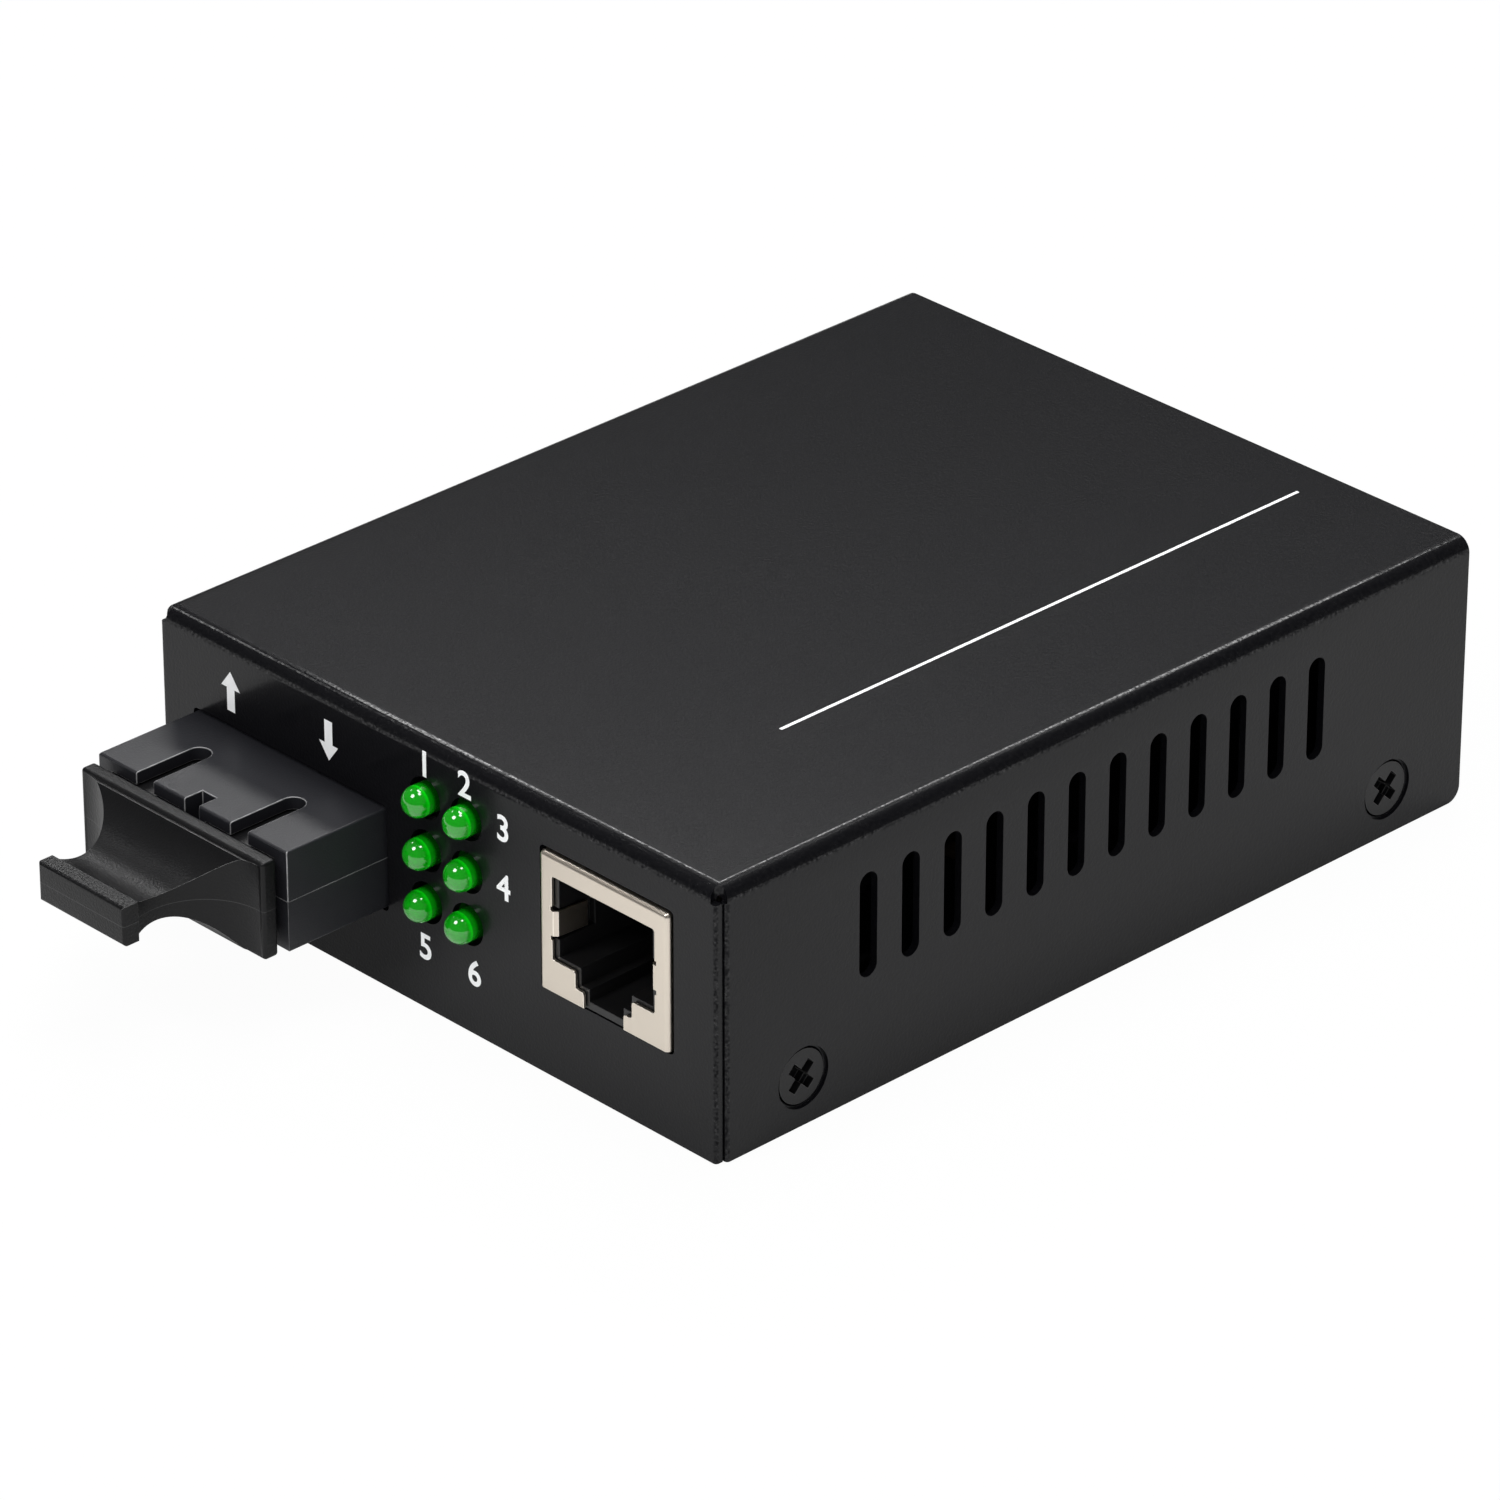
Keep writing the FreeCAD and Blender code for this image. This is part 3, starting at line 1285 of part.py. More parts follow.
def make_power_spring():
    """Leaf under the bore that presses on the plug's sleeve."""
    body = new_body("power_jack_spring")
    sketch = new_sketch(body, "YZ_Plane", "power_centre")
    low = f"{POWER_HEIGHT} - power_bore / 2 - 0.8"
    start = f"{POWER_FACE} - power_bore_depth + 1"
    foot = f"{BOARD_BOTTOM} - pin_stickout"
    outline(
        sketch,
        [
            (start, low), (f"{start} + 3", f"{low} + 1.1"), (f"{POWER_LEAF_LINE} + 0.2", low),
            (f"{POWER_LEAF_LINE} + 0.2", foot), (f"{POWER_LEAF_LINE} - 0.2", foot),
            (f"{POWER_LEAF_LINE} - 0.2", f"{low} - 0.35"), (f"{start} + 3", f"{low} + 0.7"),
            (start, f"{low} - 0.4"),
        ],
    )
    leaf = pad(body, sketch, "2.6")
    leaf.SideType = "Symmetric"
    return finish(body)


def make_chip(label, across, along, width, depth, height, leads, pitch, lead_width):
    """A moulded package with a row of bent leads down each long side."""
    body = new_body(label)
    block = new_sketch(body, "XY_Plane", "0.1")
    centred_rectangle(block, "0", "0", width, depth)
    pad(body, block, height)
    if leads:
        row = new_sketch(body, "XZ_Plane", f"{(leads - 1) / 2} * {pitch} - {lead_width} / 2")
        upper = f"{height} / 2 - 0.1"
        lower = f"{height} / 2 - 0.3"
        bends = [
            (-0.1, upper), (0.6, upper), (0.6, "0.15"), (1.2, "0.15"),
            (1.2, "0"), (0.4, "0"), (0.4, lower), (-0.1, lower),
        ]
        for side in ("-", ""):
            outline(row, [(f"{side}({width} / 2 + {out})", up) for out, up in bends])
        lead = pad(body, row, lead_width)
        if leads > 1:
            row_of(body, lead, "Y_Axis", str(leads), str(pitch))
    place(body, across, along, "board_top")
    return finish(body)


def make_can_part(label, across, along, diameter, height):
    """Upright round capacitor with its crimped groove and rounded top."""
    body = new_body(label)
    sketch = new_sketch(body, "XZ_Plane")
    radius = f"{diameter} / 2"
    outline(
        sketch,
        [
            ("0", "0"), (radius, "0"), (radius, "1"), (f"{radius} - 0.4", "1.5"),
            (radius, "2"), (radius, height), ("0", height),
        ],
    )
    turned(body, sketch)
    dress(body, "Fillet", "Radius", "0.4", lambda edge: near(edge.BoundBox.ZMin, height))
    place(body, across, along, "board_top")
    return finish(body)


def make_crystal():
    """Low metal can of the clock crystal, round at both ends, on its wider rim."""
    body = new_body("crystal")
    rim = new_sketch(body, "XY_Plane")
    obround(rim, "0", "0", "4.7", "11")
    pad(body, rim, "0.5")
    can = new_sketch(body, "XY_Plane")
    obround(can, "0", "0", "3.9", "10.2")
    pad(body, can, "3.4")
    dress(body, "Fillet", "Radius", "0.4", lambda edge: near(edge.BoundBox.ZMin, 3.4))
    place(body, "4", "-5", "board_top")
    return finish(body)


def make_inductor():
    """Square shielded coil with round corners."""
    body = new_body("inductor")
    sketch = new_sketch(body, "XY_Plane")
    centred_rectangle(sketch, "0", "0", "7.5", "7.5")
    pad(body, sketch, "4.2")
    dress(body, "Fillet", "Radius", "1.2", lambda edge: runs_along(edge, "z"))
    place(body, "-1.5", "31", "board_top")
    return finish(body)


def make_small_parts(label, width, depth, height, places):
    """A group of small two-ended chips lying on the board."""
    body = new_body(label + "_pattern")
    sketch = new_sketch(body, "XY_Plane")
    centred_rectangle(sketch, "0", "0", width, depth)
    pad(body, sketch, height)
    return group(label, [(body, str(x), str(y), "board_top", (0, 0, 1), turn) for x, y, turn in places])


def make_electronics():
    """The packages on the board, from the sockets back to the power input."""
    make_chip("isolation_transformer", "15.5", "-19", 9.5, 15.5, 5.8, 8, 1.78, 0.5)
    make_chip("converter_chip", "-8", "6", 14, 14, 1.4, 24, 0.5, 0.22)
    make_chip("memory_chip", "-24", "6", 3.9, 4.9, 1.5, 4, 1.27, 0.4)
    make_chip("voltage_regulator", "-1.5", "20", 3.5, 6.5, 1.7, 3, 2.3, 0.7)
    make_chip("power_diode", "10", "39", 4.3, 3.6, 2.2, 1, 1, 2)
    make_crystal()
    make_inductor()
    make_can_part("bulk_capacitor_input", "8", "30", 8, 11.5)
    make_can_part("bulk_capacitor_output", "-12", "31", 6.3, 11)
    capacitors = [
        (-20, -2, 0), (-20, 14, 0), (-4, -4.5, 0), (-12, 17, 90), (2.5, 9, 90), (2.5, 3, 90), (10, 12, 0),
        (16, -4, 0), (22, -4, 0), (26.5, -12, 90), (-22, 24, 0), (5, 20, 90),
    ]
    resistors = [
        (-20, 0.5, 0), (-20, 16.5, 0), (-12, -4.5, 0), (10, 9, 0), (10, 6, 0), (16, -1.5, 0), (22, -1.5, 0),
        (27, 2, 90), (27, 6, 90), (-18, 24, 0), (3, -14, 0), (3, -11, 0), (8.5, -14, 0),
        (8.5, -36, 90), (-26, 30, 90),
    ]
    make_small_parts("chip_capacitors", "2", "1.25", "0.9", capacitors)
    make_small_parts("chip_resistors", "1.6", "0.8", "0.45", resistors)


def check_and_write():
    """Stop on any broken object, then write one file for each named piece."""
    doc.recompute()
    broken = [thing.Label for thing in doc.Objects if "Invalid" in thing.State or "Error" in thing.State]
    if broken:
        raise ValueError(f"these did not build: {broken}")
    os.makedirs("parts", exist_ok=True)
    for thing in parts:
        if thing.Shape.isNull() or not thing.Shape.isValid():
            raise ValueError(f"{thing.Label} has no valid shape")
        thing.Shape.exportStep(f"parts/{thing.Label}.step")


make_cover()
make_base()
make_case_screws()
make_circuit_board()
make_board_standoffs()
make_board_screws()
make_upper_housing()
make_lower_housing()
make_sleeve("transmit_sleeve", "-")
make_sleeve("receive_sleeve", "+")
make_can("transmitter_can", "-")
make_can("receiver_can", "+")
make_module_board()
make_module_chip()
make_module_pins()
make_dust_plug()
for light_name, (across, height) in LIGHT_PLACES.items():
    make_light(light_name, across, height)
make_light_holder()
make_light_leads()
make_jack_shield()
make_jack_insert()
make_jack_contacts()
make_power_body()
make_power_pin()
make_power_spring()
make_electronics()
check_and_write()
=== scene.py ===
import math

import bmesh
import bpy
from mathutils import Matrix, Vector


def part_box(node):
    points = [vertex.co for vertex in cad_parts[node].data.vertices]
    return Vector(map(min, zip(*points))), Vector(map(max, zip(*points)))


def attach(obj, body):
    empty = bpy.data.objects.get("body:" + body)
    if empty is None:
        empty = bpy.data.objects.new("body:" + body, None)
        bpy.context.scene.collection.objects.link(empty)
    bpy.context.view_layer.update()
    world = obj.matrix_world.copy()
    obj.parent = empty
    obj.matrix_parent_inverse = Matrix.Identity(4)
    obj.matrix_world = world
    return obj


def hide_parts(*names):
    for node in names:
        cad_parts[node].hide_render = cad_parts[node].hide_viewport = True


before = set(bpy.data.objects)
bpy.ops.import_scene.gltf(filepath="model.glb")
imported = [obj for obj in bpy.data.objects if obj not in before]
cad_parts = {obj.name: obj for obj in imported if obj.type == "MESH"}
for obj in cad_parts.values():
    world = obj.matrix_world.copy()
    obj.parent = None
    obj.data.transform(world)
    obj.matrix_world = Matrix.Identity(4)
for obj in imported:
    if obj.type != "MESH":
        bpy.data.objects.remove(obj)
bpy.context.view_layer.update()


# ---------------------------------------------------------------- the view
# A long lens looks down on the case from its right front corner, so the front panel, the
# vented side and the top all show.

MM = 0.001
scene = bpy.context.scene
camera_data = bpy.data.cameras.new("camera")
camera_data.lens = 208.66
camera_data.sensor_width = 36.0
camera_data.clip_end = 20.0
camera = bpy.data.objects.new("camera", camera_data)
camera.location = Vector((498.69, -487.51, 388.62)) * MM
aim = Vector((-6.87, -1.94, 6.62)) * MM
camera.rotation_euler = (aim - camera.location).to_track_quat("-Z", "Y").to_euler()
scene.collection.objects.link(camera)
scene.camera = camera
scene.view_settings.view_transform = "Standard"


# ---------------------------------------------------------------- table and room
# A wide white table in a dim studio. The lens sees white all round; shiny surfaces see the
# white table with the shadow on it, and the dim room above.

def mix_in_white(nodes, links, lit, output_socket, to_lens, to_gloss):
    """Mix plain white over a shader: so much of it for the lens and glass, so much for gloss."""
    path = nodes.new("ShaderNodeLightPath")
    weights = []
    amounts = (("Is Camera Ray", to_lens), ("Is Transmission Ray", to_lens), ("Is Glossy Ray", to_gloss))
    for ray, amount in amounts:
        weight = nodes.new("ShaderNodeMath")
        weight.operation = "MULTIPLY"
        links.new(path.outputs[ray], weight.inputs[0])
        weight.inputs[1].default_value = amount
        weights.append(weight.outputs[0])
    for second in (weights[1], weights[2]):
        larger = nodes.new("ShaderNodeMath")
        larger.operation = "MAXIMUM"
        links.new(weights[0], larger.inputs[0])
        links.new(second, larger.inputs[1])
        weights[0] = larger.outputs[0]
    white = nodes.new("ShaderNodeEmission")
    white.inputs["Color"].default_value = (1, 1, 1, 1)
    mix = nodes.new("ShaderNodeMixShader")
    links.new(weights[0], mix.inputs[0])
    links.new(lit, mix.inputs[1])
    links.new(white.outputs[0], mix.inputs[2])
    links.new(mix.outputs[0], output_socket)


def make_table(half_width, gap):
    """A square white table top, a hair's breadth under the case."""
    mesh = bpy.data.meshes.new("table")
    shape = bmesh.new()
    bmesh.ops.create_grid(shape, x_segments=1, y_segments=1, size=half_width)
    shape.to_mesh(mesh)
    shape.free()
    table = bpy.data.objects.new("table", mesh)
    table.location.z = -gap
    scene.collection.objects.link(table)
    material = bpy.data.materials.new("white_table")
    material.use_nodes = True
    nodes, links = material.node_tree.nodes, material.node_tree.links
    surface = nodes["Principled BSDF"]
    surface.inputs["Base Color"].default_value = (0.77, 0.77, 0.77, 1)
    surface.inputs["Roughness"].default_value = 0.8
    seen = nodes["Material Output"].inputs["Surface"]
    mix_in_white(nodes, links, surface.outputs[0], seen, to_lens=0.97, to_gloss=0.34)
    mesh.materials.append(material)


make_table(half_width=2.0, gap=0.2 * MM)

world = bpy.data.worlds.new("dim_studio")
scene.world = world
world.use_nodes = True
world_nodes, world_links = world.node_tree.nodes, world.node_tree.links
room = world_nodes["Background"]
room.inputs["Color"].default_value = (1, 1, 1, 1)
room.inputs["Strength"].default_value = 0.12
sky = world_nodes["World Output"].inputs["Surface"]
mix_in_white(world_nodes, world_links, room.outputs[0], sky, to_lens=1.0, to_gloss=0.0)


# ---------------------------------------------------------------- studio lights
# A long strip high at the back left, and a short one at the left, draw the bright lines along
# the bends. Two boxes overhead and a round one in front light the rest and shine in the lights'
# domes. A wide low one at the front softens the shadows and shows in no reflection.

def soft_box(name, shape, direction, distance, width, height, watts, along=(1, 0, 0), mirrored=True):
    """An area lamp facing the case, its width lying along the given direction."""
    data = bpy.data.lights.new(name, "AREA")
    data.shape = shape
    data.size = width
    data.size_y = height
    data.energy = watts
    box = bpy.data.objects.new(name, data)
    towards = Vector(direction).normalized()
    across = (Vector(along) - Vector(along).dot(towards) * towards).normalized()
    turn = Matrix((across, towards.cross(across), towards)).transposed().to_4x4()
    box.matrix_world = Matrix.Translation(towards * distance) @ turn
    box.visible_glossy = mirrored
    scene.collection.objects.link(box)


soft_box(
    "back_strip", "RECTANGLE", direction=(-0.46, 0.54, 0.71), distance=1.2,
    width=0.8, height=0.14, watts=4.2, along=(0.43, 0.207, 0.11),
)
soft_box(
    "left_strip", "RECTANGLE", direction=(-0.70, -0.06, 0.71), distance=1.2,
    width=0.2, height=0.08, watts=0.5, along=(0, 1, 0),
)
soft_box(
    "overhead_box", "SQUARE", direction=(-0.06, 0.26, 0.95), distance=1.2,
    width=0.46, height=0.46, watts=7.0,
)
soft_box(
    "right_box", "RECTANGLE", direction=(0.24, -0.01, 0.96), distance=1.2,
    width=0.36, height=0.32, watts=4.0,
)
soft_box(
    "front_round", "DISK", direction=(-0.13, -0.61, 0.78), distance=1.2,
    width=0.46, height=0.46, watts=6.0,
)
soft_box(
    "front_fill", "RECTANGLE", direction=(0.62, -0.72, 0.3), distance=1.6,
    width=1.6, height=0.8, watts=7.5, along=(0.76, 0.65, 0), mirrored=False,
)


# ---------------------------------------------------------------- base
# Folded sheet steel: bottom, rear panel and low side tabs, powder painted satin black. The
# cover slides over it and screws into its side tabs.

def new_group(name, inputs, outputs):
    """An empty shader node group with named sockets, and its input and output nodes."""
    tree = bpy.data.node_groups.new(name, "ShaderNodeTree")
    for socket, kind in inputs:
        tree.interface.new_socket(socket, in_out="INPUT", socket_type=kind)
    for socket, kind in outputs:
        tree.interface.new_socket(socket, in_out="OUTPUT", socket_type=kind)
    return tree, tree.nodes.new("NodeGroupInput"), tree.nodes.new("NodeGroupOutput")


def make_grain_group():
    """Small random hills of paint or moulded plastic, and a broad cloudy tone."""
    tree, given, result = new_group(
        "surface_grain",
        [
            ("Position", "NodeSocketVector"),
            ("Grains per metre", "NodeSocketFloat"),
            ("Clouds per metre", "NodeSocketFloat"),
        ],
        [("Hills", "NodeSocketFloat"), ("Clouds", "NodeSocketFloat")],
    )
    fine = tree.nodes.new("ShaderNodeTexNoise")
    fine.inputs["Detail"].default_value = 2.0
    fine.inputs["Roughness"].default_value = 0.5
    broad = tree.nodes.new("ShaderNodeTexNoise")
    broad.inputs["Detail"].default_value = 2.0
    for texture, scale in ((fine, "Grains per metre"), (broad, "Clouds per metre")):
        tree.links.new(given.outputs["Position"], texture.inputs["Vector"])
        tree.links.new(given.outputs[scale], texture.inputs["Scale"])
    tree.links.new(fine.outputs["Fac"], result.inputs["Hills"])
    tree.links.new(broad.outputs["Fac"], result.inputs["Clouds"])
    return tree


surface_grain = make_grain_group()


def make_edge_group():
    """A lighter colour, broken into flecks, laid over a piece's rounded edges: partly rubbed paint, partly
    a painted highlight where the edges catch the light.
    """
    tree, given, result = new_group(
        "edge_wear_and_highlight",
        [
            ("Position", "NodeSocketVector"),
            ("Colour", "NodeSocketColor"),
            ("Worn and lit colour", "NodeSocketColor"),
            ("Flecks per metre", "NodeSocketFloat"),
        ],
        [("Colour", "NodeSocketColor")],
    )
    edge = tree.nodes.new("ShaderNodeAttribute")
    edge.attribute_name = "edge"
    flecks = tree.nodes.new("ShaderNodeTexNoise")
    tree.links.new(given.outputs["Position"], flecks.inputs["Vector"])
    tree.links.new(given.outputs["Flecks per metre"], flecks.inputs["Scale"])
    spread = tree.nodes.new("ShaderNodeMapRange")
    spread.inputs["From Min"].default_value = 0.38
    spread.inputs["From Max"].default_value = 0.62
    spread.inputs["To Min"].default_value = 0.6
    tree.links.new(flecks.outputs["Fac"], spread.inputs["Value"])
    amount = tree.nodes.new("ShaderNodeMath")
    amount.operation = "MULTIPLY"
    tree.links.new(edge.outputs["Fac"], amount.inputs[0])
    tree.links.new(spread.outputs["Result"], amount.inputs[1])
    # The lighter edge colour is partly rubbed paint and partly a painted highlight.
    edge_mix = tree.nodes.new("ShaderNodeMix")
    edge_mix.data_type = "RGBA"
    tree.links.new(amount.outputs[0], edge_mix.inputs["Factor"])
    tree.links.new(given.outputs["Colour"], edge_mix.inputs["A"])
    tree.links.new(given.outputs["Worn and lit colour"], edge_mix.inputs["B"])
    tree.links.new(edge_mix.outputs["Result"], result.inputs["Colour"])
    return tree


edge_wear_and_highlight = make_edge_group()


def make_slant_group():
    """One amount on faces square to the case and on edges, and another on the sheet's bends."""
    tree, given, result = new_group(
        "slanted_surface",
        [("On flats", "NodeSocketFloat"), ("On bends", "NodeSocketFloat")],
        [("Amount", "NodeSocketFloat")],
    )
    facing = tree.nodes.new("ShaderNodeNewGeometry")
    parts = tree.nodes.new("ShaderNodeSeparateXYZ")
    tree.links.new(facing.outputs["True Normal"], parts.inputs[0])
    largest = None
    for axis in "XYZ":
        size = tree.nodes.new("ShaderNodeMath")
        size.operation = "ABSOLUTE"
        tree.links.new(parts.outputs[axis], size.inputs[0])
        if largest is None:
            largest = size.outputs[0]
        else:
            larger = tree.nodes.new("ShaderNodeMath")
            larger.operation = "MAXIMUM"
            tree.links.new(largest, larger.inputs[0])
            tree.links.new(size.outputs[0], larger.inputs[1])
            largest = larger.outputs[0]
    amount = tree.nodes.new("ShaderNodeMapRange")
    amount.inputs["From Min"].default_value = 0.9999
    amount.inputs["From Max"].default_value = 0.995
    tree.links.new(largest, amount.inputs["Value"])
    tree.links.new(given.outputs["On flats"], amount.inputs["To Min"])
    tree.links.new(given.outputs["On bends"], amount.inputs["To Max"])
    edge = tree.nodes.new("ShaderNodeAttribute")
    edge.attribute_name = "edge"
    away_from_edges = tree.nodes.new("ShaderNodeMix")
    tree.links.new(edge.outputs["Fac"], away_from_edges.inputs["Factor"])
    tree.links.new(amount.outputs["Result"], away_from_edges.inputs["A"])
    tree.links.new(given.outputs["On flats"], away_from_edges.inputs["B"])
    tree.links.new(away_from_edges.outputs["Result"], result.inputs["Amount"])
    return tree


slanted_surface = make_slant_group()


def grained_material(
    name, colour, roughness, grains, hill_height, spread=0.08, metallic=0.0, specular=0.5,
    coat=0.0, coat_roughness=0.15, worn_and_lit_edge_colour=None, bend_grain=0.0,
):
    """A Principled surface with bumpy grain, colour and gloss that vary a little, and lighter edges that
    are partly rubbed paint, partly a painted highlight.
    """
    material = bpy.data.materials.new(name)
    material.use_nodes = True
    nodes, links = material.node_tree.nodes, material.node_tree.links
    surface = nodes["Principled BSDF"]
    surface.inputs["Metallic"].default_value = metallic
    surface.inputs["Specular IOR Level"].default_value = specular
    surface.inputs["Coat Weight"].default_value = coat
    surface.inputs["Coat Roughness"].default_value = coat_roughness
    place = nodes.new("ShaderNodeTexCoord")
    grain = nodes.new("ShaderNodeGroup")
    grain.node_tree = surface_grain
    grain.inputs["Grains per metre"].default_value = grains
    grain.inputs["Clouds per metre"].default_value = 60.0
    links.new(place.outputs["Object"], grain.inputs["Position"])
    tint = nodes.new("ShaderNodeMix")
    tint.name = "tint"
    tint.data_type = "RGBA"
    tint.inputs["A"].default_value = (*[c * (1 - spread) for c in colour], 1)
    tint.inputs["B"].default_value = (*[c * (1 + spread) for c in colour], 1)
    links.new(grain.outputs["Clouds"], tint.inputs["Factor"])
    colour_out = tint.outputs["Result"]
    # Rounded edges are painted lighter: rubbed paint together with a painted highlight.
    if worn_and_lit_edge_colour:
        edge_layer = nodes.new("ShaderNodeGroup")
        edge_layer.node_tree = edge_wear_and_highlight
        edge_layer.inputs["Worn and lit colour"].default_value = (*worn_and_lit_edge_colour, 1)
        edge_layer.inputs["Flecks per metre"].default_value = 1100.0
        links.new(place.outputs["Object"], edge_layer.inputs["Position"])
        links.new(colour_out, edge_layer.inputs["Colour"])
        colour_out = edge_layer.outputs["Colour"]
    links.new(colour_out, surface.inputs["Base Color"])
    gloss = nodes.new("ShaderNodeMapRange")
    gloss.inputs["To Min"].default_value = roughness * (1 - spread)
    gloss.inputs["To Max"].default_value = roughness * (1 + spread)
    links.new(grain.outputs["Clouds"], gloss.inputs["Value"])
    links.new(gloss.outputs["Result"], surface.inputs["Roughness"])
    bump = nodes.new("ShaderNodeBump")
    bump.name = "bump"
    bump.inputs["Distance"].default_value = hill_height
    bump.inputs["Strength"].default_value = 1.0
    links.new(grain.outputs["Hills"], bump.inputs["Height"])
    links.new(bump.outputs["Normal"], surface.inputs["Normal"])
    if bend_grain:
        slant = nodes.new("ShaderNodeGroup")
        slant.node_tree = slanted_surface
        slant.inputs["On flats"].default_value = 0.3
        slant.inputs["On bends"].default_value = bend_grain
        above_mean = nodes.new("ShaderNodeMath")
        above_mean.operation = "SUBTRACT"
        links.new(grain.outputs["Hills"], above_mean.inputs[0])
        above_mean.inputs[1].default_value = 0.5
        swing = nodes.new("ShaderNodeMath")
        swing.operation = "MULTIPLY"
        links.new(above_mean.outputs[0], swing.inputs[0])
        links.new(slant.outputs["Amount"], swing.inputs[1])
        weight = nodes.new("ShaderNodeMath")
        weight.operation = "MULTIPLY_ADD"
        weight.use_clamp = True
        links.new(swing.outputs[0], weight.inputs[0])
        weight.inputs[1].default_value = coat
        weight.inputs[2].default_value = coat
        links.new(weight.outputs[0], surface.inputs["Coat Weight"])
    return material


def dress(node, material):
    """Give a CAD node its material."""
    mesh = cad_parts[node].data
    mesh.materials.clear()
    mesh.materials.append(material)


def finer_copy(node, material, rounding, body="case"):
    """A clean copy of a CAD node with joined vertices, rounded edges and smooth bends."""
    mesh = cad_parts[node].data.copy()
    shape = bmesh.new()
    shape.from_mesh(mesh)
    same_place = 0.001 * MM
    bmesh.ops.remove_doubles(shape, verts=shape.verts, dist=same_place)
    flat = math.radians(0.5)
    bmesh.ops.dissolve_limit(shape, angle_limit=flat, verts=shape.verts, edges=shape.edges)
    sharp = math.radians(28)
    for face in shape.faces:
        face.smooth = True
    for edge in shape.edges:
        edge.smooth = len(edge.link_faces) == 2 and edge.calc_face_angle(0) < sharp
    shape.to_mesh(mesh)
    shape.free()
    mesh.materials.clear()
    mesh.materials.append(material)
    copy = bpy.data.objects.new(node + "_finish", mesh)
    scene.collection.objects.link(copy)
    if rounding:
        mesh.materials.append(material)
        bevel = copy.modifiers.new("rounded_edges", "BEVEL")
        bevel.width = rounding
        bevel.segments = 2
        bevel.limit_method = "ANGLE"
        bevel.angle_limit = sharp
        bevel.harden_normals = True
        bevel.material = 1
        finished = copy.evaluated_get(bpy.context.evaluated_depsgraph_get())
        rounded = bpy.data.meshes.new_from_object(finished)
        edge = rounded.attributes.new("edge", "FLOAT", "FACE")
        edge.data.foreach_set("value", [float(face.material_index) for face in rounded.polygons])
        for face in rounded.polygons:
            face.material_index = 0
        rounded.materials.pop(index=1)
        copy.modifiers.clear()
        copy.data = rounded
    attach(copy, body)
    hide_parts(node)
    return copy


# The lighter edge colour here is a painted highlight along the edges, partly rubbed paint.
black_paint = grained_material(
    "black_powder_paint", (0.0036, 0.0036, 0.0046), roughness=0.36, grains=3600, hill_height=0.03 * MM,
    specular=0.06, coat=0.34, coat_roughness=0.14, worn_and_lit_edge_colour=(0.05, 0.05, 0.053), bend_grain=6.0,
)
finer_copy("base", black_paint, rounding=0.08 * MM)


# ---------------------------------------------------------------- board, standoffs and screws
# Glass laminate on four posts pressed in the base, held by pan-head screws. Board, posts and screws are
# coloured near black as painted shade, so the inside seen through the vents stays dark.

# A near-black board: painted shade for the dark inside seen through the vents.
laminate = grained_material(
    "board_dark_as_painted_shade", (0.004, 0.006, 0.005), roughness=0.4, grains=900, hill_height=0.01 * MM
)
# Near-black steel for the posts and screws: painted shade, so they do not shine through the vents.
shade_dark_steel = grained_material(
    "steel_dark_as_painted_shade", (0.03, 0.03, 0.033), roughness=0.45, grains=3000, hill_height=0.008 * MM,
    metallic=1.0,
)
dress("circuit_board", laminate)
dress("board_standoffs", shade_dark_steel)
dress("board_screws", shade_dark_steel)


# ---------------------------------------------------------------- parts on the board
# Chips, coils and a diode in moulded black epoxy, a crystal in a plated can, sleeved capacitor
# cans, and small ceramic chips, all soldered to the board.

epoxy = grained_material(
    "package_epoxy", (0.012, 0.012, 0.013), roughness=0.55, grains=6000, hill_height=0.01 * MM
)
chips = ("converter_chip", "memory_chip", "voltage_regulator")
for package in (*chips, "isolation_transformer", "power_diode", "inductor"):
    dress(package, epoxy)
plated = grained_material(
    "plated_steel", (0.42, 0.42, 0.41), roughness=0.35, grains=2500, hill_height=0.01 * MM, metallic=1.0
)
dress("crystal", plated)
can_sleeve = grained_material(
    "capacitor_sleeve", (0.02, 0.02, 0.03), roughness=0.35, grains=3000, hill_height=0.01 * MM
)
dress("bulk_capacitor_input", can_sleeve)
dress("bulk_capacitor_output", can_sleeve)
tan_ceramic = grained_material(
    "tan_ceramic", (0.05, 0.035, 0.022), roughness=0.5, grains=6000, hill_height=0.01 * MM
)
dress("chip_capacitors", tan_ceramic)
dark_ceramic = grained_material(
    "dark_ceramic", (0.02, 0.02, 0.025), roughness=0.4, grains=6000, hill_height=0.01 * MM
)
dress("chip_resistors", dark_ceramic)


# ---------------------------------------------------------------- power socket
# Black moulded socket behind the rear panel's hole, soldered to the board, with a plated pin
# and a plated spring leaf.

black_moulding = grained_material(
    "black_moulding", (0.006, 0.006, 0.0065), roughness=0.4, grains=5000, hill_height=0.005 * MM
)
dress("power_jack_body", black_moulding)
dress("power_jack_pin", plated)
dress("power_jack_spring", plated)


# ---------------------------------------------------------------- optical transceiver
# Two moulded halves closed on each other, with turned sleeves, gilt cans, a small board and a
# row of pins inside.

